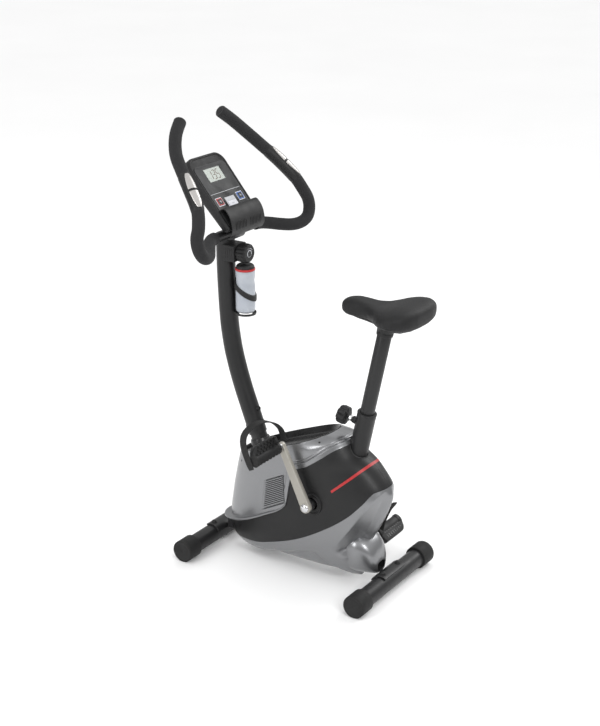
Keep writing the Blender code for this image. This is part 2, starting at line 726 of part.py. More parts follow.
def sub_sweep(path, first, last, radius, inner, sides=10):
    """Pipe on part of the path whose facets line up with the whole path's."""
    side = axis_frame(path[1] - path[0])[1]
    outer_rings, inner_rings = [], []
    for i in range(last + 1):
        tangent = (path[min(i + 1, len(path) - 1)] - path[max(i - 1, 0)]).normalized()
        side = (side - tangent * side.dot(tangent)).normalized()
        up = tangent.cross(side)
        if i < first:
            continue
        spokes = [side * math.cos(2 * math.pi * k / sides) + up * math.sin(2 * math.pi * k / sides)
                  for k in range(sides)]
        outer_rings.append([path[i] + spoke * radius for spoke in spokes])
        inner_rings.append([path[i] + spoke * inner for spoke in spokes])
    return loft(outer_rings + inner_rings[::-1], wrap=True)


def build_handlebar():
    pivot = add_pivot("handlebar_axis", Vector((0, BAR_Y, BAR_Z)))
    path = bar_path()
    last = len(path) - 1
    add_object("handlebar_tube", sub_sweep(path, 0, last, BAR_RADIUS, BAR_RADIUS - 1.5 * MM),
               "black_paint", pivot)
    middle = last // 2
    clear = math.ceil(84 * MM / BAR_STEP)
    bore = BAR_RADIUS + 0.9 * MM
    add_object("grip_right", sub_sweep(path, 0, middle - clear, GRIP_RADIUS, bore), "foam", pivot)
    add_object("grip_left", sub_sweep(path, middle + clear, last, GRIP_RADIUS, bore), "foam", pivot)
    sleeve = GRIP_RADIUS + 0.4 * MM
    start = round(0.30 * middle)
    end = start + 3
    add_object("pulse_sensor_right", sub_sweep(path, start, end, 19 * MM, sleeve), "steel", pivot)
    add_object("pulse_sensor_left", sub_sweep(path, last - end, last - start, 19 * MM, sleeve),
               "steel", pivot)


def build_clamp():
    ring = add_object("handlebar_clamp", pipe((0, BAR_Y, BAR_Z), (1, 0, 0), -22 * MM, 22 * MM,
                                              19 * MM, 13.2 * MM), "black_paint")
    combine(ring, block((-18 * MM, -264 * MM, 886.6 * MM), (18 * MM, -226 * MM, 899 * MM), 2 * MM),
            "UNION")
    half = 72 * MM
    rings = [[face_point(x, *point) for x, point in
              ((-half, outer), (half, outer), (half, inner), (-half, inner))]
             for outer, inner in cover_section()]
    add_object("clamp_cover", loft(rings), "black_plastic")


def cover_section():
    """Pairs of outer and inner points of the rolled cover, in (up, out) of the face."""
    points = [(u * MM, v * MM) for u, v in COVER_SECTION]
    lining = []
    for i, point in enumerate(points):
        before = points[max(i - 1, 0)]
        after = points[min(i + 1, len(points) - 1)]
        run = Vector((after[0] - before[0], after[1] - before[1])).normalized()
        lining.append((point[0] - run.y * WALL, point[1] + run.x * WALL))
    return list(zip(points, lining))


def build_console():
    body = add_object("console_housing", console_body(), "black_plastic")
    panel_outline = rounded_outline(69 * MM, -98 * MM, 103 * MM, 22 * MM, 5, 6 * MM)
    panel = add_object("console_face", prism(panel_outline, face_point, -2 * MM, 0), "black_plastic")
    window = ((-34 * MM, 33 * MM), (34 * MM, 72 * MM))
    pocket = flat_box(window[0], window[1], -6 * MM, 4 * MM)
    combine(panel, pocket.copy(), "DIFFERENCE")
    combine(body, pocket, "DIFFERENCE")
    inset = 0.4 * MM
    add_object("display", flat_box((window[0][0] + inset, window[0][1] + inset),
                                   (window[1][0] - inset, window[1][1] - inset),
                                   -5.6 * MM, -0.8 * MM), "display")
    for name, low, high, finish in BUTTONS:
        low = (low[0] * MM, low[1] * MM)
        high = (high[0] * MM, high[1] * MM)
        well = flat_box((low[0] - inset, low[1] - inset), (high[0] + inset, high[1] + inset),
                        -7 * MM, 4 * MM)
        combine(panel, well.copy(), "DIFFERENCE")
        combine(body, well, "DIFFERENCE")
        centre = face_point((low[0] + high[0]) / 2, (low[1] + high[1]) / 2, 0)
        pivot = add_pivot(name + "_axis", centre)
        add_object(name, flat_box(low, high, -5 * MM, 1.4 * MM), finish, pivot)
    pivot = add_pivot("battery_cover_axis", face_point(0, 45 * MM, -39.3 * MM))
    add_object("battery_cover", flat_box((-32 * MM, 20 * MM), (32 * MM, 70 * MM),
                                         -40.5 * MM, -38.4 * MM), "black_plastic", pivot)


def flat_box(low, high, start, end):
    outline = [(low[0], low[1]), (high[0], low[1]), (high[0], high[1]), (low[0], high[1])]
    return prism(outline, face_point, start, end)


def console_body():
    """Housing whose plan has round shoulders and whose back is a wedge."""
    outline = rounded_outline(76 * MM, -104 * MM, 112 * MM, 30 * MM, 6, 8 * MM)
    shrink = 0.93
    front = [face_point(u, v, -2.3 * MM) for u, v in outline]
    edge = [face_point(u, v, blend_curve(v, CONSOLE_BACK) + 8 * MM) for u, v in outline]
    rear = [face_point(u * shrink, v * shrink, blend_curve(v, CONSOLE_BACK)) for u, v in outline]
    return loft([front, edge, rear])


# ---- seat --------------------------------------------------------------------
def build_seat():
    pivot = add_pivot("seat_axis", SEAT_REF)
    start = (SEAT_POST_BOTTOM_Z - SEAT_REF.z) / SEAT_AXIS.z
    end = (SEAT_POST_TOP_Z - SEAT_REF.z) / SEAT_AXIS.z
    post = add_object("seat_post", pipe(SEAT_REF, SEAT_AXIS, start, end, SEAT_POST_RADIUS,
                                        SEAT_POST_RADIUS - 1.8 * MM), "black_paint", pivot)
    for step in range(-3, 5):
        origin = pin_origin() + SEAT_AXIS * (step * HOLE_PITCH)
        combine(post, rod(origin, pin_axis(), 10 * MM, 30 * MM, 4.8 * MM, 8), "DIFFERENCE", pivot)
    pan_rings = [saddle_ring(y, width * 0.9, 738 + rise, 743.6 + rise)
                 for y, width, rise in ((140, 22, 3), (170, 32, 0.5), (205, 40, 0), (235, 58, 0),
                                        (265, 88, 0), (300, 102, 0), (330, 94, 0), (346, 66, 1))]
    pan = add_object("saddle_pan", loft(pan_rings), "black_plastic", pivot)
    combine(pan, turn([(end - 30 * MM, 19.5 * MM), (end - 30 * MM, 24 * MM),
                       (end - 26 * MM, 26 * MM), (end + 7 * MM, 29 * MM),
                       (end + 7 * MM, 19.5 * MM)], SEAT_REF, SEAT_AXIS, 20, wrap=True),
            "UNION", pivot)
    sections = [(122, 12, 774, 758), (134, 26, 786, 750), (165, 34, 791, 746), (205, 42, 786, 745),
                (235, 62, 783, 745), (265, 93, 789, 745), (300, 107, 799, 745),
                (330, 101, 802, 745), (349, 74, 796, 747), (360, 34, 784, 754)]
    cushion = [saddle_ring(y, width, low, high, 16) for y, width, high, low in sections]
    add_object("saddle", loft(cushion), "vinyl", pivot)


def saddle_ring(y, half, low, high, count=12):
    """Rounded section across the saddle at one station."""
    ring = []
    middle = (low + high) / 2
    for i in range(count):
        angle = 2 * math.pi * (i + 0.5) / count
        cosine, sine = math.cos(angle), math.sin(angle)
        x = math.copysign(abs(cosine) ** 0.6, cosine) * half
        z = middle + math.copysign(abs(sine) ** 0.7, sine) * (high - low) / 2
        ring.append(Vector((x, y, z)) * MM)
    return ring


def build_seat_pin():
    pivot = add_pivot("seat_pin_axis", pin_origin() + pin_axis() * 40 * MM)
    profile = [(SEAT_POST_RADIUS + 0.6 * MM, 4 * MM, 0), (48 * MM, 4 * MM, 0),
               (48 * MM, 12 * MM, 0), (52 * MM, 12 * MM, 0), (52 * MM, 22 * MM, 3 * MM),
               (54 * MM, 25 * MM, 4 * MM), (74 * MM, 25 * MM, 4 * MM), (78 * MM, 21 * MM, 3 * MM)]
    add_object("seat_pin", turn(profile, pin_origin(), pin_axis(), 32, lobes=8), "black_plastic",
               pivot)


# ---- drive ---------------------------------------------------------------------
def crank_end(side):
    """Pedal axis at the end of the left (1) or right (-1) crank arm."""
    y = CRANK_Y - side * math.sin(CRANK_LEAN) * CRANK_LENGTH
    z = CRANK_Z + side * math.cos(CRANK_LEAN) * CRANK_LENGTH
    return Vector((0, y, z))


def build_crank():
    centre = Vector((0, CRANK_Y, CRANK_Z))
    pivot = add_pivot("crank_axis", centre)
    add_object("crank_axle", rod(centre, (1, 0, 0), -89.5 * MM, 89.5 * MM, 10 * MM), "steel", pivot)
    for side, word in ((1, "left"), (-1, "right")):
        end = crank_end(side)
        outline = belt_outline((centre.y, centre.z), 14.5 * MM, (end.y, end.z), 9.5 * MM, 8)
        arm = add_object("crank_arm_" + word, prism(outline, side_point, side * CRANK_INNER_X,
                                                    side * CRANK_OUTER_X), "crank_alloy", pivot)
        boss = turn([(side * 90 * MM, 14 * MM), (side * 109 * MM, 14.5 * MM)], centre, (1, 0, 0), 20)
        combine(arm, boss, "UNION", pivot)
        dome = turn([(side * along * MM, radius * MM) for along, radius in
                     ((118, 12.5), (121.5, 12.5), (124.5, 10), (126.5, 5))], centre, (1, 0, 0), 20)
        combine(arm, dome, "UNION", pivot)
        spindle = rod(end, (1, 0, 0), side * 112 * MM, side * 228 * MM, 7 * MM, 16)
        combine(arm, spindle, "UNION", pivot)
    pulley = [(BELT_X - 6 * MM, 10.5 * MM), (BELT_X - 6 * MM, 22 * MM), (BELT_X - 2 * MM, 24 * MM),
              (BELT_X - 2 * MM, 96 * MM), (BELT_X - 6 * MM, 98 * MM),
              (BELT_X - 6 * MM, DRIVE_PULLEY_RADIUS + 3 * MM),
              (BELT_X - 5.2 * MM, DRIVE_PULLEY_RADIUS), (BELT_X + 5.2 * MM, DRIVE_PULLEY_RADIUS),
              (BELT_X + 6 * MM, DRIVE_PULLEY_RADIUS + 3 * MM), (BELT_X + 6 * MM, 98 * MM),
              (BELT_X + 2 * MM, 96 * MM), (BELT_X + 2 * MM, 24 * MM), (BELT_X + 6 * MM, 22 * MM),
              (BELT_X + 6 * MM, 10.5 * MM)]
    add_object("drive_pulley", turn(pulley, centre, (1, 0, 0), 28, wrap=True), "black_plastic", pivot)


def build_belt():
    rings = []
    sides = ((1.6, -1), (1.6, 1), (3.6, 1), (3.6, -1))
    for grow, side in sides:
        outline = belt_outline((CRANK_Y, CRANK_Z), DRIVE_PULLEY_RADIUS + grow * MM,
                               (FLYWHEEL_Y, FLYWHEEL_Z), SMALL_PULLEY_RADIUS + grow * MM, 10)
        x = BELT_X + side * (BELT_WIDTH / 2 - 0.4 * MM)
        rings.append([side_point(u, v, x) for u, v in outline])
    add_object("drive_belt", loft(rings, wrap=True), "rubber")


def build_flywheel():
    centre = Vector((0, FLYWHEEL_Y, FLYWHEEL_Z))
    pivot = add_pivot("flywheel_axis", centre)
    shaft = [(-57 * MM, 6 * MM), (BELT_X - 6.2 * MM, 6 * MM), (BELT_X - 6 * MM, 18 * MM),
             (BELT_X - 5.2 * MM, 15 * MM), (BELT_X + 5.2 * MM, 15 * MM), (BELT_X + 6 * MM, 18 * MM),
             (BELT_X + 6.2 * MM, 6 * MM), (BELT_X + 10 * MM, 6 * MM)]
    add_object("flywheel_shaft", turn(shaft, centre, (1, 0, 0), 20), "steel", pivot)
    wheel = [(-52, 6.4), (-52, 20), (-47, 22), (-47, 66), (-52, 70), (-52, 90), (-50, 92),
             (-36, 92), (-34, 90), (-34, 70), (-39, 66), (-39, 22), (-34, 20), (-34, 6.4)]
    add_object("flywheel", turn([(along * MM, radius * MM) for along, radius in wheel], centre,
                                (1, 0, 0), 28, wrap=True), "iron", pivot)


def magnet_pivot():
    """Hinge of the magnet arm, above and behind the flywheel."""
    y = FLYWHEEL_Y + MAGNET_RADIUS * math.cos(MAGNET_PIVOT_ANGLE)
    z = FLYWHEEL_Z + MAGNET_RADIUS * math.sin(MAGNET_PIVOT_ANGLE)
    return y, z


def build_magnet_arm():
    y, z = magnet_pivot()
    pivot = add_pivot("magnet_axis", Vector((0, y, z)))
    outline = arc((FLYWHEEL_Y, FLYWHEEL_Z), MAGNET_RADIUS + 3 * MM, 60, 118, 10)
    outline += arc((FLYWHEEL_Y, FLYWHEEL_Z), MAGNET_RADIUS - 4 * MM, 118, 60, 10)
    arm = add_object("magnet_arm", prism(outline, side_point, -53 * MM, -33 * MM), "iron", pivot)
    combine(arm, rod((0, y, z), (1, 0, 0), -53 * MM, -33 * MM, 7 * MM, 16), "UNION", pivot)
    combine(arm, rod((0, y, z), (1, 0, 0), -60 * MM, -20 * MM, 3.4 * MM, 12), "DIFFERENCE", pivot)


# ---- pedals -------------------------------------------------------------------
def build_pedal(side, word):
    """Pedal built level round its spindle, then turned by its pivot."""
    pivot = add_pivot("pedal_axis_" + word, Vector((0, 0, 0)))
    far = PEDAL_INNER_X + PEDAL_WIDTH
    place = pedal_place(side)
    pedal = add_object("pedal_" + word, prism(tread_outline(far), place, -PEDAL_THICKNESS / 2,
                                              PEDAL_THICKNESS / 2), "rubber", pivot)
    oval = [(BARREL_HALF_DEEP * math.cos(2 * math.pi * k / 20),
             BARREL_HALF_TALL * math.sin(2 * math.pi * k / 20)) for k in range(20)]
    barrel = prism(oval, lambda v, up, across: Vector((across, v, up)),
                   side * (PEDAL_INNER_X + MM), side * (far + MM))
    combine(pedal, barrel, "UNION", pivot)
    bore = rod((0, 0, 0), (1, 0, 0), side * 100 * MM, side * 230 * MM, 7.5 * MM, 16)
    combine(pedal, bore, "DIFFERENCE", pivot)
    add_object("strap_" + word, strap(side, STRAP_PATH[word]), "rubber", pivot)
    pivot.location = crank_end(side)
    pivot.rotation_euler = (PEDAL_TILT[word], 0, 0)


def pedal_place(side):
    return lambda u, v, depth: Vector((side * u, v, depth))


def tread_outline(far):
    """Plate in front of the barrel, with a large round at its outer corner."""
    inner_round, outer_round = 8 * MM, 28 * MM
    outline = [(far, 0), (PEDAL_INNER_X, 0)]
    outline += arc((PEDAL_INNER_X + inner_round, PEDAL_FRONT + inner_round), inner_round, 180, 270, 4)
    outline += arc((far - outer_round, PEDAL_FRONT + outer_round), outer_round, 270, 360, 8)
    return outline


def strap(side, path):
    """Flat band along a path, kept square to the pedal's standing height."""
    points = [Vector((side * x, y, z)) * MM for x, y, z in path]
    upright = Vector((0, math.cos(PEDAL_TILT["left"]), -math.sin(PEDAL_TILT["left"])))
    rings = []
    for i, point in enumerate(points):
        along = (points[min(i + 1, len(points) - 1)] - points[max(i - 1, 0)]).normalized()
        wide = (upright - along * upright.dot(along)).normalized() * STRAP_HALF_WIDTH
        thick = along.cross(wide).normalized() * STRAP_THICKNESS / 2
        rings.append([point + wide + thick, point - wide + thick, point - wide - thick,
                      point + wide - thick])
    bm = loft(rings)
    bmesh.ops.triangulate(bm, faces=bm.faces)
    return bm


def clear_scene():
    for thing in list(bpy.data.objects):
        bpy.data.objects.remove(thing, do_unlink=True)


def centre_on_origin():
    """Slide everything that has no parent so that the bike is centred."""
    for thing in bpy.data.objects:
        if thing.parent is None:
            thing.location.y += BED_SHIFT


clear_scene()
MATERIALS = {name: make_material(name, *look) for name, look in FINISHES.items()}
build_frame()
build_housing()
build_post()
build_tension_control()
build_bottle()
build_clamp()
build_handlebar()
build_console()
build_seat()
build_seat_pin()
build_crank()
build_belt()
build_flywheel()
build_magnet_arm()
build_pedal(1, "left")
build_pedal(-1, "right")
centre_on_origin()
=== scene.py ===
"""Looks of an upright exercise bike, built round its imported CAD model.

Everything is in metres in the CAD frame: +X is the rider's left, the front
faces -Y and +Z is up. Shapes are laid out in stations along Y from the middle
of the wheelbase, and BED_SHIFT moves them to the CAD frame.
"""
import json
import math

import bmesh
import bpy
from mathutils import Matrix, Vector


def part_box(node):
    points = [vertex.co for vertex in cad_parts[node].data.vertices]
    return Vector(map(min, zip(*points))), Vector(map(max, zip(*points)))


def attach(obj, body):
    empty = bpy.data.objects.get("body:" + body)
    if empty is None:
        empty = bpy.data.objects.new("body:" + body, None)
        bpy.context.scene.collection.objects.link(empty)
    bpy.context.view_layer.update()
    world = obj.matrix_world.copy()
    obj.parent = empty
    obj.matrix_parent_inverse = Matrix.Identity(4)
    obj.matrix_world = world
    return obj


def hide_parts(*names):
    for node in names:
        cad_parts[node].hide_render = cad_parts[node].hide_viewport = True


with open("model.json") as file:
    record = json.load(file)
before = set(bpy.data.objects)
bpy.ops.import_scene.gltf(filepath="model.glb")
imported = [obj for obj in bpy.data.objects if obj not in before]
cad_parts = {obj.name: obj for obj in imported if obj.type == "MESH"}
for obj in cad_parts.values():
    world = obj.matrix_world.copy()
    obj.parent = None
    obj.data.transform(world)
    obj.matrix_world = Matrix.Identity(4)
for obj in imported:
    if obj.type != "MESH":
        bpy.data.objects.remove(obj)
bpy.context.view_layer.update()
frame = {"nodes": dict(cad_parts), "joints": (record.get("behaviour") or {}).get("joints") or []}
NODES = frame["nodes"]
JOINTS = {joint["name"]: joint for joint in frame["joints"]}

MM = 0.001
SIDES = ((1, "left"), (-1, "right"))
BED_SHIFT = Vector((0, -12 * MM, 0))


def joint_point(name):
    """A joint's place, as a station."""
    return Vector(JOINTS[name]["pos_m"]) - BED_SHIFT


def node_box(name):
    """A node's lowest and highest corners, as stations."""
    low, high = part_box(name)
    return low - BED_SHIFT, high - BED_SHIFT


def middle_of(name):
    low, high = node_box(name)
    return (low + high) / 2


# ---- camera, light and floor -----------------------------------------------
CAMERA_AZIMUTH = math.radians(123.59)
CAMERA_ELEVATION = math.radians(20.33)
CAMERA_PLACE = Vector((2.9944, 1.9661, 1.9114))
CAMERA_LENS = 72.69


def build_camera():
    camera = bpy.data.cameras.new("camera")
    camera.lens = CAMERA_LENS
    camera.sensor_width = 36
    camera.clip_end = 200
    thing = bpy.data.objects.new("camera", camera)
    flat = math.cos(CAMERA_ELEVATION)
    back = Vector((math.sin(CAMERA_AZIMUTH) * flat, -math.cos(CAMERA_AZIMUTH) * flat,
                   math.sin(CAMERA_ELEVATION)))
    right = Vector((0, 0, 1)).cross(back).normalized()
    up = back.cross(right)
    turn = Matrix((right, up, back)).transposed().to_4x4()
    thing.matrix_world = Matrix.Translation(CAMERA_PLACE) @ turn
    bpy.context.scene.collection.objects.link(thing)
    bpy.context.scene.camera = thing


def area_light(name, place, target, size, power, colour=(1, 1, 1)):
    light = bpy.data.lights.new(name, "AREA")
    light.shape = "RECTANGLE"
    light.size, light.size_y = size
    light.energy = power
    light.color = colour
    thing = bpy.data.objects.new(name, light)
    aim = (Vector(target) - Vector(place)).to_track_quat("-Z", "Y")
    thing.matrix_world = Matrix.Translation(place) @ aim.to_matrix().to_4x4()
    bpy.context.scene.collection.objects.link(thing)
    return thing


def shade_sky(tree):
    """Bright overhead, dimmer towards the horizon, so that upright sides keep contrast."""
    place = tree.nodes.new("ShaderNodeTexCoord")
    split = tree.nodes.new("ShaderNodeSeparateXYZ")
    tree.links.new(place.outputs["Generated"], split.inputs["Vector"])
    height = tree.nodes.new("ShaderNodeMapRange")
    height.inputs["From Min"].default_value = 0.05
    height.inputs["From Max"].default_value = 0.6
    height.inputs["To Min"].default_value = 0.3
    height.inputs["To Max"].default_value = 1.15
    tree.links.new(split.outputs["Z"], height.inputs["Value"])
    tree.nodes["Background"].inputs["Color"].default_value = (1, 1, 1, 1)
    tree.links.new(height.outputs["Result"], tree.nodes["Background"].inputs["Strength"])


def build_studio():
    scene = bpy.context.scene
    scene.view_settings.view_transform = "Standard"
    world = bpy.data.worlds.new("studio")
    scene.world = world
    world.use_nodes = True
    shade_sky(world.node_tree)
    centre = (0, 0, 0.6)
    area_light("key_light", (2.2, 3.6, 3.2), centre, (1.4, 1.4), 80)
    area_light("side_light", (4.2, -1.2, 2.2), centre, (1.0, 2.2), 60)
    area_light("rim_light", (-3.0, 1.2, 2.6), centre, (1.2, 2.2), 45)
    bm = bmesh.new()
    bmesh.ops.create_grid(bm, x_segments=1, y_segments=1, size=40)
    mesh = bpy.data.meshes.new("floor")
    bm.to_mesh(mesh)
    bm.free()
    floor = bpy.data.objects.new("floor", mesh)
    mesh.materials.append(FINISH["floor"])
    scene.collection.objects.link(floor)


# ---- materials ---------------------------------------------------------------
class Recipe:
    """Node tree of one procedural finish, in object coordinates."""

    def __init__(self, name, sockets):
        self.material = bpy.data.materials.new(name)
        self.material.use_nodes = True
        self.tree = self.material.node_tree
        self.shader = self.tree.nodes["Principled BSDF"]
        for socket, value in sockets.items():
            self.shader.inputs[socket.replace("_", " ")].default_value = value
        self.place = self.tree.nodes.new("ShaderNodeTexCoord").outputs["Object"]
        self.made = {}

    def node(self, kind, output, values, links):
        """Add a node, set its plain inputs, link the others and give one output."""
        node = self.tree.nodes.new("ShaderNode" + kind)
        for socket, value in values.items():
            node.inputs[socket].default_value = value
        for socket, source in links.items():
            self.tree.links.new(source, node.inputs[socket])
        return node.outputs[output]

    def source(self, scale, detail=None, stretch=None):
        """Noise with this detail, or cells where no detail is given; made once."""
        key = (scale, detail, stretch)
        if key in self.made:
            return self.made[key]
        place = self.place
        if stretch:
            place = self.node("Mapping", "Vector", {"Scale": stretch}, {"Vector": place})
        if detail is None:
            made = self.node("TexVoronoi", "Distance", {"Scale": scale}, {"Vector": place})
        else:
            made = self.node("TexNoise", "Fac", {"Scale": scale, "Detail": detail},
                             {"Vector": place})
        self.made[key] = made
        return made

    def ramp(self, value, low, high, start=0.3, end=0.7):
        """Colours from low to high as value goes from start to end."""
        node = self.tree.nodes.new("ShaderNodeValToRGB")
        for stop, place, colour in zip(node.color_ramp.elements, (start, end), (low, high)):
            stop.position = place
            stop.color = (*colour, 1)
        self.tree.links.new(value, node.inputs["Fac"])
        return node.outputs["Color"]

    def range(self, value, low, high, start=0.3, end=0.7):
        return self.node("MapRange", "Result", {"From Min": start, "From Max": end,
                                                "To Min": low, "To Max": high}, {"Value": value})

    def worn_edges(self, base, wear, start=0.52, end=0.62):
        """Mixes in a lighter tone where the surface is convex."""
        pointed = self.tree.nodes.new("ShaderNodeNewGeometry").outputs["Pointiness"]
        node = self.tree.nodes.new("ShaderNodeMix")
        node.data_type = "RGBA"
        self.tree.links.new(self.range(pointed, 0, 0.5, start, end), node.inputs["Factor"])
        self.tree.links.new(base, node.inputs["A"])
        node.inputs["B"].default_value = (*wear, 1)
        return node.outputs["Result"]


def finish(name, base, rough, bumps=(), wear=None, **sockets):
    """One material; base, rough and each bump start with the source they follow."""
    made = Recipe(name, sockets)
    colour = made.ramp(made.source(*base[0]), *base[1:])
    if wear:
        colour = made.worn_edges(colour, *wear)
    made.tree.links.new(colour, made.shader.inputs["Base Color"])
    made.tree.links.new(made.range(made.source(*rough[0]), *rough[1:]),
                        made.shader.inputs["Roughness"])
    normal = None
    for source, strength, distance in bumps:
        links = {"Height": made.source(*source)}
        if normal:
            links["Normal"] = normal
        normal = made.node("Bump", "Normal", {"Strength": strength, "Distance": distance}, links)
    if normal:
        made.tree.links.new(normal, made.shader.inputs["Normal"])
    return made.material


def grained_plastic(name, low, high, roughness=(0.42, 0.55), grain=2600, bump=0.3):
    wear = (tuple(min(1, c * 2.2) for c in high),)
    return finish(name, ((14, 4), low, high), ((40, 4), *roughness), [((grain,), bump, 0.00012)],
                  wear, Specular_IOR_Level=0.28)


def plated(name, colour, roughness=(0.12, 0.24), stretch=(30, 1, 1)):
    """Plated or turned metal with faint tool marks."""
    marks = (300, 3, stretch)
    return finish(name, (marks, tuple(0.9 * c for c in colour), colour), (marks, *roughness),
                  [(marks, 0.06, 0.0001)], Metallic=1.0)


def printed(name, low, high):
    """Ink or a coloured moulding."""
    return finish(name, ((120, 4), low, high), ((300, 3), 0.35, 0.5), [((1500, 2), 0.08, 0.0001)])


FINISH = {
    "powder": finish("powder_coat", ((9, 4), (0.008, 0.008, 0.0085), (0.012, 0.012, 0.0125)),
                     ((60, 5), 0.36, 0.47), [((1400, 2), 0.25, 0.0002), ((260, 2), 0.12, 0.0004)],
                     ((0.035, 0.035, 0.036),), Coat_Weight=0.06, Coat_Roughness=0.3,
                     Specular_IOR_Level=0.3),
    "shell": grained_plastic("shell_plastic", (0.009, 0.009, 0.0093), (0.012, 0.012, 0.0124),
                             (0.36, 0.46), 2600, 0.2),
    "black": grained_plastic("black_plastic", (0.008, 0.008, 0.0083), (0.013, 0.013, 0.0134)),
    "panel": grained_plastic("panel_film", (0.018, 0.0184, 0.0188), (0.023, 0.0234, 0.0238),
                             (0.45, 0.55), 3200, 0.15),
    "tray": finish("tray_gloss", ((10, 4), (0.008, 0.008, 0.0085), (0.013, 0.013, 0.0135)),
                   ((90, 5), 0.24, 0.34), [((70, 2), 0.04, 0.0004)], Coat_Weight=0.12,
                   Coat_Roughness=0.12, Specular_IOR_Level=0.35),
    # Grey plastic with fine metal flake under a clear coat.
    "silver": finish("silver_lacquer", ((2400,), (0.17, 0.172, 0.178), (0.23, 0.233, 0.24), 0.1, 0.6),
                     ((30, 4), 0.28, 0.35), [((900, 2), 0.08, 0.0001)],
                     ((0.3, 0.303, 0.31), 0.53, 0.66), Metallic=0.8, Coat_Weight=0.3,
                     Coat_Roughness=0.15),
    "foam": finish("grip_foam", ((900,), (0.012, 0.012, 0.0125), (0.021, 0.021, 0.022), 0.05, 0.5),
                   ((25, 3), 0.68, 0.82), [((900,), 0.45, 0.0005), ((120, 3), 0.2, 0.0006)],
                   Sheen_Weight=0.03, Sheen_Roughness=0.6, Specular_IOR_Level=0.15),
    # Smooth synthetic leather with a fine pebble.
    "saddle": finish("saddle_skin", ((18, 4), (0.006, 0.006, 0.0065), (0.009, 0.009, 0.0095)),
                     ((650,), 0.5, 0.62, 0.0, 0.6), [((650,), 0.35, 0.00035), ((45, 3), 0.08, 0.001)],
                     Specular_IOR_Level=0.3),
    "rubber": finish("moulded_rubber", ((22, 5), (0.012, 0.012, 0.012), (0.018, 0.018, 0.018)),
                     ((50, 4), 0.58, 0.74), [((700, 3), 0.3, 0.0003)], Specular_IOR_Level=0.25),
    "chrome": plated("chrome_plate", (0.62, 0.62, 0.63)),
    "sensor": plated("sensor_plate", (0.5, 0.485, 0.47), (0.3, 0.4), (1, 1, 14)),
    "steel": plated("turned_steel", (0.5, 0.5, 0.51), (0.28, 0.4)),
    "crank": finish("crank_lacquer", ((3000,), (0.26, 0.245, 0.215), (0.32, 0.305, 0.27), 0.1, 0.6),
                    ((40, 4), 0.36, 0.46), [((500, 2), 0.06, 0.0002)],
                    ((0.6, 0.58, 0.52), 0.52, 0.6), Metallic=0.35, Coat_Weight=0.3,
                    Coat_Roughness=0.2),
    "iron": finish("cast_iron", ((60, 5), (0.07, 0.07, 0.073), (0.13, 0.13, 0.135)),
                   ((120, 4), 0.42, 0.6), [((380, 4), 0.4, 0.0004)], Metallic=0.85),
    "bottle": finish("bottle_plastic", ((25, 3), (0.42, 0.45, 0.5), (0.5, 0.53, 0.57)),
                     ((60, 3), 0.28, 0.4), [((160, 3), 0.1, 0.0005)], Transmission_Weight=0.25,
                     IOR=1.45, Subsurface_Weight=0.25, Subsurface_Radius=(0.01, 0.01, 0.01)),
    # Face of the liquid crystal window.
    "crystal": finish("crystal", ((60, 2), (0.2, 0.235, 0.2), (0.235, 0.27, 0.235)),
                      ((200, 3), 0.22, 0.3), [((2600, 1), 0.05, 0.0001)], Coat_Weight=0.15,
                      Coat_Roughness=0.08),
    "red": printed("red_print", (0.34, 0.01, 0.012), (0.4, 0.014, 0.016)),
    "blue": printed("blue_print", (0.02, 0.09, 0.34), (0.03, 0.12, 0.4)),
    "white": printed("white_print", (0.5, 0.51, 0.55), (0.58, 0.59, 0.63)),
    "silver_ink": printed("silver_ink", (0.36, 0.37, 0.39), (0.42, 0.43, 0.45)),
    "digit": printed("digit_ink", (0.06, 0.026, 0.012), (0.09, 0.04, 0.02)),
    "floor": finish("pale_floor", ((0.8, 3), (0.93, 0.93, 0.93), (0.95, 0.95, 0.95)),
                    ((3, 3), 0.55, 0.65)),
}


# ---- mesh helpers --------------------------------------------------------------
def object_from(name, bm):
    """Object whose mesh is the solid in bm, given in stations."""
    bmesh.ops.recalc_face_normals(bm, faces=bm.faces)
    bmesh.ops.translate(bm, verts=bm.verts, vec=BED_SHIFT)
    mesh = bpy.data.meshes.new(name)
    bm.to_mesh(mesh)
    bm.free()
    thing = bpy.data.objects.new(name, mesh)
    bpy.context.scene.collection.objects.link(thing)
    return thing


def add_piece(name, bm, finish_name, body="frame", stands_for=(), smooth=35, bevel=0.0, segments=2):
    """Make an object from a bmesh in stations and let it ride on a body."""
    thing = object_from(name, bm)
    mesh = thing.data
    mesh.shade_smooth()
    if smooth < 180:
        mesh.set_sharp_from_angle(angle=math.radians(smooth))
    mesh.materials.append(FINISH[finish_name])
    if bevel:
        rounding = thing.modifiers.new("bevel", "BEVEL")
        rounding.width = bevel
        rounding.segments = segments
        rounding.limit_method = "ANGLE"
        rounding.angle_limit = math.radians(30)
    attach(thing, body)
    if stands_for:
        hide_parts(*stands_for)
    return thing


def lathe(name, profile, origin, axis, finish_name, body="frame", stands_for=(), side=1,
          smooth=40, **turning):
    """Piece turned from rows of millimetres; side -1 mirrors them along the axis."""
    rows = [(side * row[0], *row[1:]) for row in scaled(profile)]
    return add_piece(name, turn(rows, origin, axis, **turning), finish_name, body, stands_for,
                     smooth=smooth)


def cut(thing, bm):
    """Cut the solid in bm, given in stations, out of a piece for good."""
    tool = object_from("cutter", bm)
    modifier = thing.modifiers.new("cut", "BOOLEAN")
    modifier.operation = "DIFFERENCE"
    modifier.solver = "EXACT"
    modifier.object = tool
    thing.data = evaluated_mesh(thing)
    thing.modifiers.remove(modifier)
    bpy.data.objects.remove(tool)


def evaluated_mesh(thing):
    """Copy of a piece's mesh with its modifiers applied."""
    bpy.context.view_layer.update()
    return bpy.data.meshes.new_from_object(
        thing.evaluated_get(bpy.context.evaluated_depsgraph_get()))


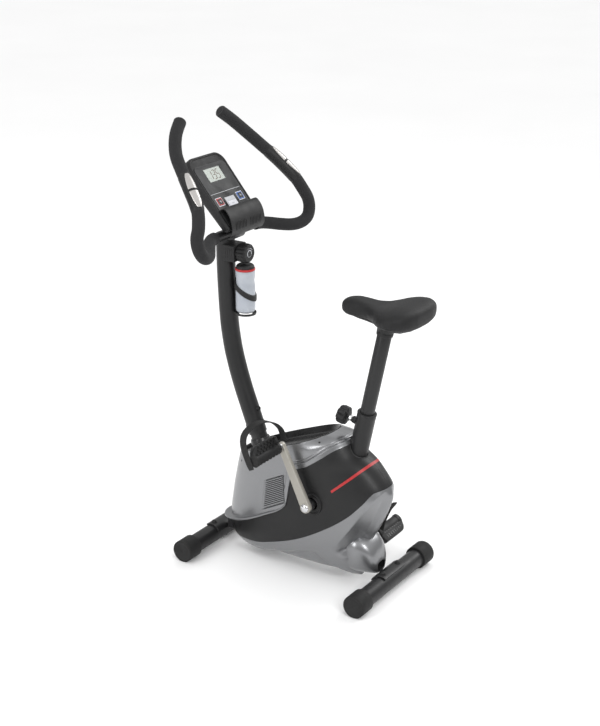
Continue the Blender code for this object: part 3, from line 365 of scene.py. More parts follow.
def circle(count, place):
    """Points that place gives at even angles round a full turn."""
    return [place(2 * math.pi * k / count) for k in range(count)]


def loft(rings, wrap=False):
    bm = bmesh.new()
    rows = [[bm.verts.new(point) for point in ring] for ring in rings]
    pairs = list(zip(rows, rows[1:]))
    if wrap:
        pairs.append((rows[-1], rows[0]))
    count = len(rows[0])
    for low, high in pairs:
        for i in range(count):
            after = (i + 1) % count
            bm.faces.new((low[i], low[after], high[after], high[i]))
    if not wrap:
        bm.faces.new(rows[0])
        bm.faces.new(rows[-1])
    return bm


def merge(*meshes):
    """One bmesh that holds several."""
    whole = meshes[0]
    for other in meshes[1:]:
        copied = {vert: whole.verts.new(vert.co) for vert in other.verts}
        for face in other.faces:
            whole.faces.new([copied[vert] for vert in face.verts])
        other.free()
    return whole


def axis_frame(axis):
    axis = Vector(axis).normalized()
    side = Vector((0, 1, 0)) if abs(axis.x) > 0.9 else Vector((1, 0, 0))
    side = (side - axis * side.dot(axis)).normalized()
    return axis, side, axis.cross(side)


def turn(profile, origin, axis, sides=48, wrap=False, lobes=0, start=0.0):
    """Turned solid from (along, radius[, lobe depth]) points about an axis."""
    axis, side, up = axis_frame(axis)
    rings = []
    for station in profile:
        depth = station[2] if len(station) > 2 else 0
        ring = []
        for i in range(sides):
            angle = start + 2 * math.pi * i / sides
            swell = 0.5 - 0.5 * math.cos(lobes * angle)
            reach = station[1] - depth * swell ** 3
            offset = side * math.cos(angle) * reach + up * math.sin(angle) * reach
            ring.append(Vector(origin) + axis * station[0] + offset)
        rings.append(ring)
    return loft(rings, wrap)


def rounded_rod(origin, axis, start, end, radius, edge, sides=48):
    """Solid bar along an axis with rounded rims."""
    profile = [(start, radius - edge)] + corner(start, radius, edge, 1)
    profile += corner(end, radius, edge, -1)[::-1] + [(end, radius - edge)]
    return turn(profile, origin, axis, sides)


def corner(along, radius, edge, way, steps=4):
    """Quarter round from a flat end at along to the wall at radius."""
    points = []
    for i in range(1, steps + 1):
        angle = math.pi / 2 * i / steps
        points.append((along + way * edge * (1 - math.cos(angle)),
                       radius - edge + edge * math.sin(angle)))
    return points


def spokes(tangents, sides, start_side=None):
    """Directions round a path that don't twist along it."""
    side = start_side
    fans = []
    for tangent in tangents:
        if side is None:
            side = axis_frame(tangent)[1]
        side = (side - tangent * side.dot(tangent)).normalized()
        up = tangent.cross(side)
        fans.append([side * math.cos(2 * math.pi * k / sides) + up * math.sin(2 * math.pi * k / sides)
                     for k in range(sides)])
    return fans


def tangents_of(points):
    last = len(points) - 1
    return [(points[min(i + 1, last)] - points[max(i - 1, 0)]).normalized()
            for i in range(len(points))]


def sweep(points, radii, sides=32):
    """Round bar whose radius may change along points."""
    fans = spokes(tangents_of(points), sides)
    return loft([[point + spoke * radius for spoke in fan]
                 for point, radius, fan in zip(points, radii, fans)])


def block(low, high):
    bm = bmesh.new()
    bmesh.ops.create_cube(bm, size=1)
    low, high = Vector(low), Vector(high)
    bmesh.ops.scale(bm, verts=bm.verts, vec=high - low)
    bmesh.ops.translate(bm, verts=bm.verts, vec=(low + high) / 2)
    return bm


def prism(outline, place, start, end):
    """Extrude a flat outline; place maps (u, v, depth) to a point."""
    return loft([[place(u, v, depth) for u, v in outline] for depth in (start, end)])


def arc(centre, radius, start, end, steps):
    angles = [math.radians(start + (end - start) * i / steps) for i in range(steps + 1)]
    return [(centre[0] + radius * math.cos(a), centre[1] + radius * math.sin(a)) for a in angles]


def rounded_outline(half_u, low_v, high_v, radius, steps=8, low_radius=None):
    low_radius = radius if low_radius is None else low_radius
    points = arc((half_u - radius, high_v - radius), radius, 0, 90, steps)
    points += arc((-half_u + radius, high_v - radius), radius, 90, 180, steps)
    points += arc((-half_u + low_radius, low_v + low_radius), low_radius, 180, 270, steps)
    points += arc((half_u - low_radius, low_v + low_radius), low_radius, 270, 360, steps)
    return points


def spline(nodes, share):
    """Smooth path through all nodes but the first and the last, which only steer it."""
    fine = []
    for before, start, end, after in zip(nodes, nodes[1:], nodes[2:], nodes[3:]):
        for k in range(share):
            t = k / share
            fine.append(0.5 * ((2 * start) + (end - before) * t
                               + (2 * before - 5 * start + 4 * end - after) * t ** 2
                               + (3 * start - before - 3 * end + after) * t ** 3))
    return fine + [nodes[-2]]


def bisect(low, high, is_below):
    """Value between low and high at which is_below stops being true."""
    for _ in range(36):
        middle = (low + high) / 2
        if is_below(middle):
            low = middle
        else:
            high = middle
    return low


def scaled(rows):
    """Rows of millimetres in metres."""
    return [tuple(value * MM for value in row) for row in rows]


def smoothstep(value):
    value = max(0.0, min(1.0, value))
    return value * value * (3 - 2 * value)


def blend_curve(x, knots):
    """Smooth curve through knots (mm), with no overshoot between them."""
    x = x / MM
    if x <= knots[0][0]:
        return knots[0][1] * MM
    if x >= knots[-1][0]:
        return knots[-1][1] * MM
    index = max(i for i in range(len(knots) - 1) if knots[i][0] <= x)
    slopes = [(b[1] - a[1]) / (b[0] - a[0]) for a, b in zip(knots, knots[1:])]

    def tangent(i):
        if i == 0 or i == len(knots) - 1:
            return slopes[min(i, len(slopes) - 1)]
        before, after = slopes[i - 1], slopes[i]
        return 0.0 if before * after <= 0 else 2 * before * after / (before + after)

    width = knots[index + 1][0] - knots[index][0]
    t = (x - knots[index][0]) / width
    low, high = knots[index][1], knots[index + 1][1]
    value = (low * (2 * t ** 3 - 3 * t ** 2 + 1) + high * (3 * t ** 2 - 2 * t ** 3)
             + width * tangent(index) * (t ** 3 - 2 * t ** 2 + t)
             + width * tangent(index + 1) * (t ** 3 - t ** 2))
    return value * MM


# ---- housing ---------------------------------------------------------------------
INCLINE = 0.39
RIM_LEVEL = 376 * MM
KEEL_LEVEL = -54 * MM
WALL = 2.6 * MM
ROUNDNESS = 2.4
MID_SHARE = 0.6
SEAM = 0.45 * MM
HULL_FRONT = [(-54, 188), (0, 51), (50, -77), (85, -167), (115, -205), (142, -222),
              (174, -228), (200, -228), (249, -221), (309, -208), (361, -195), (376, -190)]
HULL_REAR = [(-54, 192), (-18, 200), (32, 212), (71, 237), (125, 266), (160, 277),
             (190, 267), (231, 243), (264, 219), (307, 178), (334, 160), (353, 150), (376, 105)]
HULL_HALF = [(-54, 6), (-30, 36), (0, 58), (50, 76), (100, 84), (200, 88), (300, 88),
             (340, 86), (376, 82)]
SHELL_TOP = [(-260, 96), (-228, 100), (-157, 120), (-66, 165), (1, 210), (25, 314),
             (60, 330), (100, 358), (140, 388), (160, 397)]
SHELL_LOW = [(-230, 42), (-116, 58), (-47, 81), (35, 115), (127, 170), (188, 217),
             (226, 259), (250, 290), (280, 298)]
CRANK = joint_point("crank_spin")
HUB_RADIUS = 31 * MM
LOUVRE = [(-68.7, 260.7), (-3.8, 295.1), (0.3, 212.4), (-82.5, 166.4)]
LOUVRE_DEPTH = 4.5 * MM
LOUVRE_BORDER = 0.05
RIB_COUNT = 14
FACET_TOP = [(-120, 20), (-70, 45), (-10, 63.6), (82.5, 92.2), (114, 68.5), (170, 32)]
FACET_DEPTH = 8 * MM
FACET_CHAMFER = 14 * MM
SCALLOP_RIDGE = [(152, 126), (175, 156), (198, 188), (236, 245), (262, 284), (275, 300)]
SCALLOP_DEPTH = 15 * MM
SCALLOP_REACH = 42 * MM
SKIN_COLUMNS = 110


def hull_span(level):
    """Front, middle and rear of the housing at a level."""
    front, rear = blend_curve(level, HULL_FRONT), blend_curve(level, HULL_REAR)
    return front, front + MID_SHARE * (rear - front), rear


def hull_point(angle, level):
    """Skin of the housing; angle 0 is the nose and pi the tail."""
    front, middle, rear = hull_span(level)
    cosine, sine = math.cos(angle), abs(math.sin(angle))
    reach = middle - front if cosine > 0 else rear - middle
    power = 2 / ROUNDNESS
    y = middle - math.copysign(abs(cosine) ** power, cosine) * reach
    return Vector((blend_curve(level, HULL_HALF) * sine ** power, y, level + INCLINE * y))


def column_angle(station):
    """Angle at which the hull stands at this share of its length."""
    cosine = math.copysign(min(abs(station), 1) ** (ROUNDNESS / 2), -station)
    return math.acos(max(-1, min(1, cosine)))


def hull_normal(angle, level):
    step = 0.02
    around = (hull_point(min(angle + step, math.pi), level)
              - hull_point(max(angle - step, 0), level))
    rise = hull_point(angle, level + MM) - hull_point(angle, level - MM)
    normal = around.cross(rise).normalized()
    if normal.x < 0 or (abs(normal.x) < 1e-6 and normal.y * math.cos(angle) > 0):
        normal.negate()
    return normal


def hull_at(y, z):
    """Angle and level of the skin's point seen at y and z from the side."""
    level = z - INCLINE * y
    front, middle, rear = hull_span(level)
    if y < middle:
        share = min(1, (middle - y) / (middle - front))
        return math.acos(share ** (ROUNDNESS / 2)), level
    share = min(1, (y - middle) / (rear - middle))
    return math.pi - math.acos(share ** (ROUNDNESS / 2)), level


def level_on(angle, boundary):
    """Level at which the skin crosses a boundary line at this angle."""
    def is_below(level):
        point = hull_point(angle, level)
        return point.z < blend_curve(point.y, boundary)

    return bisect(KEEL_LEVEL, RIM_LEVEL, is_below)


def line_distance(y, z, knots):
    """Distance in metres from a point to a chain of knots, and the side it is on."""
    best, side = 1e9, 1
    for a, b in zip(knots, knots[1:]):
        ay, az, by, bz = a[0] * MM, a[1] * MM, b[0] * MM, b[1] * MM
        run = (by - ay, bz - az)
        length = run[0] ** 2 + run[1] ** 2
        t = max(0, min(1, ((y - ay) * run[0] + (z - az) * run[1]) / length))
        gap = math.hypot(y - ay - t * run[0], z - az - t * run[1])
        if gap < best:
            best = gap
            side = 1 if run[0] * (z - az) - run[1] * (y - ay) > 0 else -1
    return best, side


COVER_EDGE = [(y, blend_curve(y * MM, SHELL_TOP) / MM) for y in range(-260, 165, 5)]


def cover_relief(point):
    """Ledge and twin grooves that follow the cover's lower edge."""
    gap, _ = line_distance(point.y, point.z, COVER_EDGE)
    fade = smoothstep((point.y + 60 * MM) / (50 * MM))
    rise = 1.6 * MM if gap < 12.5 * MM else 0.0
    for centre, depth in ((14 * MM, 1.6 * MM), (21 * MM, 1.1 * MM)):
        rise -= depth * max(0, 1 - abs(gap - centre) / (2.4 * MM))
    return rise * fade


SCALLOP_START = 138 * MM
SCALLOP_FADE = 32 * MM
SCALLOP_FLOOR = 84 * MM
SCALLOP_WIDTH = 34 * MM


def skirt_relief(point):
    """Sunken facet under the front and the hollow at the rear."""
    ridge = blend_curve(point.y, FACET_TOP) if point.y < 0.17 else 0
    sunk = FACET_DEPTH * max(0, min(1, (ridge - point.z) / FACET_CHAMFER))
    gap, side = line_distance(point.y, point.z, SCALLOP_RIDGE)
    hollow = 0.0
    if side < 0 and point.y > SCALLOP_START:
        hollow = SCALLOP_DEPTH * math.sin(min(gap / SCALLOP_REACH, 1) * math.pi / 2)
        hollow *= smoothstep(point.x / SCALLOP_WIDTH)
        hollow *= smoothstep((point.y - SCALLOP_START) / SCALLOP_FADE)
        hollow *= smoothstep((point.z - SCALLOP_FLOOR) / SCALLOP_FADE)
    return -sunk - hollow


def shell_relief(point):
    """Shallow dish round the crank's hub."""
    gap = math.hypot(point.y - CRANK.y, point.z - CRANK.z)
    return -1.2 * MM * (1 - smoothstep((gap - HUB_RADIUS) / (6 * MM)))


def skin(side, bottom, top, rows, relief):
    """Closed thin wall of one half of the housing between two boundary lines."""
    rings = []
    for i in range(SKIN_COLUMNS + 1):
        angle = column_angle(-math.cos(math.pi * i / SKIN_COLUMNS))
        low = level_on(angle, bottom) + SEAM if bottom else KEEL_LEVEL
        high = level_on(angle, top) - SEAM if top else RIM_LEVEL
        high = max(high, low + 4 * MM)
        outer, inner = [], []
        for row in range(rows + 1):
            level = low + (high - low) * row / rows
            point = hull_point(angle, level)
            normal = hull_normal(angle, level)
            lift = relief(point)
            outer.append(point + normal * lift)
            lining = point + normal * (lift - WALL)
            lining.x = max(lining.x, 0)
            inner.append(lining)
        for points in (outer, inner):
            for point in points:
                point.x = side * (max(point.x, 0) + 0.3 * MM)
        rings.append(outer + inner[::-1])
    return loft(rings)


def build_housing():
    for side, word in SIDES:
        cover = add_piece("cover_panel_" + word, skin(side, SHELL_TOP, None, 70, cover_relief),
                          "silver", stands_for=["upper_cover_" + word], smooth=40)
        shell = add_piece("shell_panel_" + word, skin(side, SHELL_LOW, SHELL_TOP, 36, shell_relief),
                          "shell", stands_for=["side_shell_" + word], smooth=40)
        skirt = add_piece("skirt_panel_" + word, skin(side, None, SHELL_LOW, 90, skirt_relief),
                          "silver", stands_for=["lower_skirt_" + word], smooth=40)
        for piece in (cover, shell):
            cut(piece, turn(scaled([(-160, 26), (60, 26)]), SEAT_REF, SEAT_AXIS))
        cut(shell, turn(scaled([(20 * side, 17), (120 * side, 17)]), CRANK, (1, 0, 0)))
        cut(cover, louvre_prism(side))
        spine_low, spine_high = node_box("frame_spine")
        for piece in (shell, skirt):
            cut(piece, block(spine_low - Vector((1, 1, 1)) * 1.5 * MM,
                             spine_high + Vector((1, 1, 1)) * 1.5 * MM))
        build_louvre(side, word)
        build_hub_ring(side, word)
        build_stripe(side, word)
        build_cover_screws(side, word)
    build_tail()
    build_tray()
    build_lip()
    build_seat_collar()


def louvre_corner(a, b):
    """Point (y, z) of the louvre's field, a along its top and b down its side."""
    top = [LOUVRE[0][k] + (LOUVRE[1][k] - LOUVRE[0][k]) * a for k in (0, 1)]
    low = [LOUVRE[3][k] + (LOUVRE[2][k] - LOUVRE[3][k]) * a for k in (0, 1)]
    return [(top[k] + (low[k] - top[k]) * b) * MM for k in (0, 1)]


def louvre_prism(side):
    outline = [louvre_corner(a, b) for a, b in ((0, 0), (1, 0), (1, 1), (0, 1))]
    return loft([[Vector((side * x, y, z)) for y, z in outline] for x in (40 * MM, 110 * MM)])


def louvre_point(side, a, b, depth):
    """Point of the louvre field, sunk below the panel's skin by depth."""
    y, z = louvre_corner(a, b)
    angle, level = hull_at(y, z)
    point = hull_point(angle, level) - hull_normal(angle, level) * depth
    return Vector((side * point.x, point.y, point.z))


def build_louvre(side, word):
    """Sunken field let into the front panel, with a row of crisp bars across it and a black sheet behind
    the bars as painted shade in their gaps.
    """
    across, down = 12, 24
    rings = []
    for i in range(across + 1):
        a = i / across
        ring, lining = [], []
        for j in range(down + 1):
            b = j / down
            border = min(a, 1 - a, b, 1 - b)
            ring.append(louvre_point(side, a, b, LOUVRE_DEPTH * smoothstep(border / LOUVRE_BORDER)))
            lining.append(louvre_point(side, a, b, LOUVRE_DEPTH + 2 * MM))
        rings.append(ring + lining[::-1])
    add_piece("louvre_" + word, loft(rings), "silver", smooth=40)
    bars = []
    for k in range(RIB_COUNT):
        low = LOUVRE_BORDER + (1 - 2 * LOUVRE_BORDER) * (k + 0.1) / RIB_COUNT
        high = LOUVRE_BORDER + (1 - 2 * LOUVRE_BORDER) * (k + 0.66) / RIB_COUNT
        rings = []
        for a in (0.06, 0.5, 0.94):
            rings.append([louvre_point(side, a, b, depth) for b, depth in (
                (low, LOUVRE_DEPTH + 0.5 * MM), (low, 1.3 * MM), (low + 0.006, 0.7 * MM),
                (high - 0.006, 0.3 * MM), (high, 0.9 * MM), (high, LOUVRE_DEPTH + 0.5 * MM))])
        bars.append(loft(rings))
    add_piece("louvre_bars_" + word, merge(*bars), "silver", smooth=30)
    # Black sheet just above the louvre's silver floor: painted shade, so the gaps between the bars read
    # dark.
    floor = [[louvre_point(side, a, b, depth) for a, b, depth in (
        (a, 0.06, LOUVRE_DEPTH - 0.4 * MM), (a, 0.94, LOUVRE_DEPTH - 0.4 * MM),
        (a, 0.94, LOUVRE_DEPTH + 1 * MM), (a, 0.06, LOUVRE_DEPTH + 1 * MM))]
        for a in (0.065, 0.3, 0.5, 0.7, 0.935)]
    add_piece("louvre_painted_shade_" + word, loft(floor), "black", smooth=30)


def build_hub_ring(side, word):
    profile = [(82, 17.2), (88.2, 17.2), (88.8, 18), (86.8, 20), (86.6, 25), (89.4, 27),
               (90.2, 28.4), (89.8, 30), (87.4, 31), (82, 31)]
    lathe("hub_ring_" + word, profile, Vector((0, CRANK.y, CRANK.z)), (1, 0, 0), "black",
          side=side, smooth=50, sides=64, wrap=True)


STRIPE = [(141, 280), (184, 318.5), (212, 345), (222, 354)]
STRIPE_WIDTH = 7 * MM


def build_stripe(side, word):
    """Thin inlaid band that rises over the shell to the rear."""
    rings = []
    steps = 40
    start = hull_at(STRIPE[0][0] * MM, STRIPE[0][1] * MM)[0]
    for i in range(steps + 1):
        angle = start + (math.pi - start) * i / steps
        middle = level_on(angle, STRIPE)
        ring = []
        for offset, lift in ((-0.5, 0.35), (0.5, 0.35), (0.5, -0.4), (-0.5, -0.4)):
            level = middle + offset * STRIPE_WIDTH
            point = hull_point(angle, level) + hull_normal(angle, level) * lift * MM
            ring.append(Vector((side * (max(point.x, 0) + 0.3 * MM), point.y, point.z)))
        rings.append(ring)
    add_piece("stripe_" + word, loft(rings), "red", smooth=40)


def build_cover_screws(side, word):
    """Sunken screw wells near the corners of the cover."""
    wells = []
    for y, z in ((92.8, 401.4), (-163.4, 283.6)):
        angle, level = hull_at(y * MM, z * MM)
        base, normal = hull_point(angle, level), hull_normal(angle, level)
        base.x, normal.x = side * base.x, side * normal.x
        wells.append(turn(scaled([(-3, 3), (0.3, 3), (0.35, 1.2)]), base, normal, 20))
    add_piece("screw_wells_" + word, merge(*wells), "black", smooth=40)


# Station, top, bottom and half width of the nose that wraps the frame's rear end.
TAIL_SECTIONS = [(112, 104, 46, 14), (130, 121, 39, 30), (146, 133, 36, 43), (162, 142, 35, 51),
                 (178, 147, 34.5, 55.5), (194, 148, 35.5, 55.5), (206, 145, 37, 53), (218, 138, 38, 49),
                 (229, 128, 39, 44), (238, 114, 40.5, 38), (244, 98, 42.5, 31), (247.5, 78, 45, 21)]
TAIL_KEEL = 0.3


def tail_ring(section, inset, sides=56):
    """Squarish ring of the nose, narrower below its middle."""
    y, top, bottom, half = scaled([section])[0]

    def place(angle):
        c, s = math.cos(angle), math.sin(angle)
        x = math.copysign(abs(c) ** 0.7, c) * (half - inset) * (1 - TAIL_KEEL * max(0, -s) ** 1.5)
        rise = math.copysign(abs(s) ** 0.62, s) * ((top - bottom) / 2 - inset)
        return Vector((x, y, (top + bottom) / 2 + rise))

    return circle(sides, place)


def build_tail():
    """Horn shaped nose round the frame's rear end, open at its mouth."""
    outer = [tail_ring(section, 0) for section in TAIL_SECTIONS]
    inner = [tail_ring(section, WALL) for section in TAIL_SECTIONS]
    add_piece("tail_barrel", loft(outer + inner[::-1], wrap=True), "silver",
              stands_for=["tail_cover"], smooth=50)


def rim_ring(inset, level):
    """Ring at the housing's rim, drawn in by inset."""
    centre_y = hull_point(math.pi / 2, RIM_LEVEL).y

    def place(angle):
        point = hull_point(math.pi - abs(math.pi - angle), RIM_LEVEL)
        if angle > math.pi:
            point.x = -point.x
        point += Vector((-point.x, centre_y - point.y, 0)).normalized() * inset
        point.z = level + INCLINE * point.y
        return point

    return circle(96, place)


POST_REF = (-159 * MM, 383 * MM)
POST_LEAN = -0.385


def post_axis_point(z):
    return Vector((0, POST_REF[0] + POST_LEAN * (z - POST_REF[1]), z))


def post_ring(radius, z):
    _, side, up = axis_frame((0, POST_LEAN, 1))
    centre = post_axis_point(z)
    return circle(96, lambda a: centre + side * math.sin(a) * radius - up * math.cos(a) * radius)


def build_tray():
    """Glossy sunken tray with a rolled rim and a collar round the post."""
    floor = RIM_LEVEL - 20 * MM
    inset = WALL + 0.5 * MM
    rim = [(0, -5), (0, 0.4), (0.8, 1.2), (2.6, 1.2), (3.4, 0.2), (6, -9), (9, -16), (13, -19)]
    collar = [(34, 308), (31, 311), (27.6, 319), (26.8, 336), (26, 338), (23.2, 338), (23.2, 306)]
    rings = [rim_ring(inset + shrink, RIM_LEVEL + rise) for shrink, rise in scaled(rim)]
    rings.append(rim_ring(inset + 18 * MM, floor))
    rings += [post_ring(radius, z) for radius, z in scaled(collar)]
    rings += [rim_ring(inset + 18 * MM, floor - WALL), rim_ring(inset + 4 * MM, floor)]
    add_piece("tray", loft(rings, wrap=True), "tray", stands_for=["top_tray"], smooth=60)


def build_lip():
    """Ledge round the foot of the front panel, with a rounded edge."""
    end_angle = column_angle(-0.12)
    steps = 60
    rings = []
    for i in range(-steps, steps + 1):
        angle = end_angle * i / steps
        share = 1 - abs(i) / steps
        reach, thick = 2.5 + 20.5 * share ** 0.8, 5 + 5 * share
        here, ahead = abs(angle), abs(angle) + 0.02
        point = hull_point(here, level_on(here, SHELL_TOP))
        after = hull_point(ahead, level_on(ahead, SHELL_TOP))
        run = Vector((after.x - point.x, after.y - point.y, 0))
        out = Vector((-run.y, run.x, 0)).normalized()
        if out.dot(Vector((point.x, -0.01, 0))) < 0:
            out.negate()
        if i < 0:
            point.x, out.x = -point.x, -out.x
        if i == 0:
            out = Vector((0, -1, 0))
        section = scaled([(-1.5, 3.5), (1.2, 1.2), (3, 0.3), (reach - 2, 0), (reach - 0.6, -0.7),
                          (reach, -2.2), (reach - 0.4, -thick * 0.7),
                          (reach - 2.5, -thick * 0.92), (-1.5, -thick)])
        rings.append([point + out * a + Vector((0, 0, b)) for a, b in section])
    add_piece("front_ledge", loft(rings), "silver", stands_for=["front_lip"], smooth=50)


SEAT_AXIS = Vector(JOINTS["seat_height"]["axis"]).normalized()
SEAT_REF = Vector((0, 193 * MM, 470 * MM))


def build_seat_collar():
    """Thin ring where the seat tube enters the shell, laid on the shell's slope."""
    _, side, up = axis_frame(SEAT_AXIS)
    rings = [circle(64, lambda a: collar_point(
        SEAT_REF + (side * math.cos(a) + up * math.sin(a)) * radius, lift))
        for radius, lift in scaled([(25.4, 0.2), (26.6, 1.4), (28.4, 1.2), (29.2, -0.4), (25.4, -3)])]
    add_piece("seat_collar", loft(rings, wrap=True), "shell", smooth=60)


def collar_point(start, lift):
    """Slide a point down the seat tube's direction until it meets the skin."""
    depth = bisect(-160 * MM, 20 * MM, lambda depth: inside_hull(start + SEAT_AXIS * depth))
    return start + SEAT_AXIS * (depth + lift)


def inside_hull(point):
    level = point.z - INCLINE * point.y
    if level >= RIM_LEVEL:
        return False
    front, middle, rear = hull_span(level)
    reach = middle - front if point.y < middle else rear - middle
    share = abs(point.y - middle) / reach
    width = abs(point.x) / blend_curve(level, HULL_HALF)
    return share ** ROUNDNESS + width ** ROUNDNESS < 1


# ---- base ---------------------------------------------------------------------
def build_base():
    for word in ("front", "rear"):
        middle = middle_of(word + "_stabiliser")
        low, high = node_box(word + "_stabiliser")
        radius = (high.z - low.z) / 2
        add_piece(word + "_foot_tube", rounded_rod(middle, (1, 0, 0), low.x, high.x, radius, MM),
                  "powder", stands_for=[word + "_stabiliser"], smooth=50)
        for name in ("left", "right"):
            build_cap(word, name)
        build_saddle_plate(word)


def build_cap(word, name):
    """Moulded end cap: plain rounded skirt, dished end face and a centre dimple."""
    node = word + "_cap_" + name
    low, high = node_box(node)
    middle = (low + high) / 2
    side = 1 if name == "left" else -1
    half = (high.x - low.x) / 2
    radius = (high.z - low.z) / 2
    start, end = middle.x - side * half, middle.x + side * half
    tube = 25.3 * MM
    profile = [(start, tube), (start, radius - 1.6 * MM), (start + side * 0.8 * MM, radius - 0.5 * MM),
               (start + side * 2 * MM, radius), (end - side * 3 * MM, radius),
               (end - side * 1.6 * MM, radius - 0.5 * MM), (end - side * 0.5 * MM, radius - 1.8 * MM),
               (end, radius - 3.4 * MM), (end, radius - 5 * MM),
               (end - side * 0.8 * MM, radius - 6 * MM), (end - side * 0.8 * MM, 4 * MM),
               (end - side * 1.6 * MM, 3 * MM), (end - side * 1.6 * MM, 0.5 * MM),
               (end - side * 4 * MM, 0.5 * MM), (end - side * 4 * MM, tube)]
    centre = Vector((0, middle.y, low.z + radius))
    add_piece(word + "_end_cap_" + name, turn(profile, centre, (1, 0, 0), 64, wrap=True), "rubber",
              stands_for=[node], smooth=40)


def build_saddle_plate(word):
    """Curved plate with carriage bolts and their washers."""
    node = word + "_saddle"
    middle = middle_of(word + "_stabiliser")
    start, end = (55, 160) if word == "rear" else (20, 125)
    radius = 25.3 * MM
    outline = arc((middle.y, middle.z), radius + 4.6 * MM, start, end, 24)
    outline += arc((middle.y, middle.z), radius, end, start, 24)
    low, high = node_box(node)
    plate = loft([[Vector((x, u, v)) for u, v in outline] for x in (low.x, high.x)])
    add_piece(word + "_clamp_plate", plate, "powder", stands_for=[node], smooth=40, bevel=0.8 * MM)
    bolts = []
    for side in (-1, 1):
        base = Vector((side * 38 * MM, middle.y, middle.z))
        profile = [(26, 8.6), (30.6, 8.6), (31.2, 8.2), (31.4, 6.6), (33.4, 6.4), (35.4, 5),
                   (36.4, 3), (36.8, 0.6)]
        bolts.append(turn(scaled(profile), base, (0, 0, 1), 32))
    add_piece(word + "_clamp_bolts", merge(*bolts), "black", smooth=40)


# ---- post -----------------------------------------------------------------------
def post_centre(z):
    knots = [(352, post_axis_point(352 * MM).y / MM), (400, post_axis_point(400 * MM).y / MM),
             (440, post_axis_point(440 * MM).y / MM), (465, -190.6), (507, -205), (549, -217.5),
             (586, -226.5), (651, -236.5), (712, -241), (811, -245), (886, -246)]
    return Vector((0, blend_curve(z, knots), z))


def build_post():
    low, high = node_box("front_post")
    count = 60
    radius = (high.x - low.x) / 2
    bottom, top = 352 * MM, 886 * MM
    points = [post_centre(bottom + (top - bottom) * i / count) for i in range(count + 1)]
    add_piece("post_tube", sweep(points, [radius] * (count + 1), 48), "powder",
              stands_for=["front_post"], smooth=50)
    axis = Vector((0, POST_LEAN, 1)).normalized()
    square = Vector((0, axis.z, -axis.y))
    for word, height, way in (("upper", 412, 1), ("lower", 377, 1), ("front", 374, -1)):
        profile = [(23, 7.4), (26, 7.4), (26.6, 7), (26.7, 6), (29.6, 5.9), (30.6, 5), (30.8, 3.2),
                   (29, 3), (29, 0.4)]
        lathe("post_screw_" + word, profile, post_axis_point(height * MM), square * way, "black",
              stands_for=["post_bolt_" + word], sides=32)


def build_tension_control():
    low, high = node_box("tension_bracket")
    add_piece("tension_block", block(low, high), "black", stands_for=["tension_bracket"],
              smooth=40, bevel=2.4 * MM, segments=4)
    rib_low, rib_high = low.z + 8 * MM, high.z - 8 * MM
    ribs = [block((low.x - 0.6 * MM, low.y + step * MM, rib_low),
                  (high.x + 0.6 * MM, low.y + (step + 2) * MM, rib_high)) for step in (8, 15, 22, 29)]
    add_piece("tension_block_ribs", merge(*ribs), "black", bevel=0.4 * MM)
    centre = joint_point("tension_turn")
    profile = [(1, 5, 0), (1, 22, 0), (1.6, 23.6, 0), (3, 25, 1.4), (4.4, 25.8, 2.6),
               (24, 25.8, 2.6), (26.6, 25.2, 2.2), (29, 23.6, 1), (30.6, 22, 0), (31, 20.6, 0),
               (31, 18.4, 0), (30.2, 17.6, 0), (30.2, 0.6, 0)]
    lathe("tension_dial", profile, centre, (0, 1, 0), "black", "knob", ["tension_knob"],
          smooth=30, sides=120, lobes=14)
    add_piece("dial_marks", dial_marks(centre, 30.2 * MM), "white", "knob", smooth=30)


def dial_marks(centre, height):
    """Open arc, a fan of ticks and a row of growing dots on the dial's face."""
    def place(u, v, depth):
        return centre + Vector((u, height + depth, v))

    parts = []
    outer = arc((0, 0), 9.6 * MM, -30, 200, 28)
    inner = arc((0, 0), 8.0 * MM, 200, -30, 28)
    parts.append(prism(outer + inner, place, 0, 0.35 * MM))
    for angle in range(215, 331, 23):
        a = math.radians(angle)
        radial, cross = Vector((math.cos(a), math.sin(a))), Vector((-math.sin(a), math.cos(a)))
        corners = [radial * 8 + cross * 0.4, radial * 10 + cross * 0.7, radial * 10 - cross * 0.7,
                   radial * 8 - cross * 0.4]
        parts.append(prism([(c.x * MM, c.y * MM) for c in corners], place, 0, 0.35 * MM))
    for step in range(6):
        a = math.radians(60 + step * 16)
        spot = (14 * math.cos(a) * MM, 14 * math.sin(a) * MM)
        parts.append(prism(arc(spot, (0.5 + 0.14 * step) * MM, 0, 330, 11), place, 0, 0.35 * MM))
    return merge(*parts)


def build_bottle():
    low, high = node_box("water_bottle")
    centre = Vector(((low.x + high.x) / 2, (low.y + high.y) / 2, low.z))
    body = [(0, 18), (0.4, 20.5), (2, 23), (5, 24.9), (9, 25.8), (14, 26), (16, 25.6), (18, 26),
            (70, 26), (74, 25.8), (80, 24.6), (86, 24.1), (92, 24.3), (98, 25.4), (102, 25.9),
            (112, 26), (114.5, 25.6), (115, 22)]
    lathe("bottle_body", body, centre, (0, 0, 1), "bottle", stands_for=["water_bottle"], sides=64)
    ring = [(115, 20), (115.2, 26), (116, 26.6), (119, 26.6), (120.6, 26.2), (121, 24.4), (121, 20)]
    lathe("bottle_ring", ring, centre, (0, 0, 1), "red", sides=64)
    cap = [(121, 22), (121, 24.4), (124, 24.4, 0.7), (127, 23.6, 0.7), (129.5, 21.4, 0.5), (131, 19)]
    lathe("bottle_cap", cap, centre, (0, 0, 1), "black", smooth=35, sides=96, lobes=24)
    build_cage(centre)


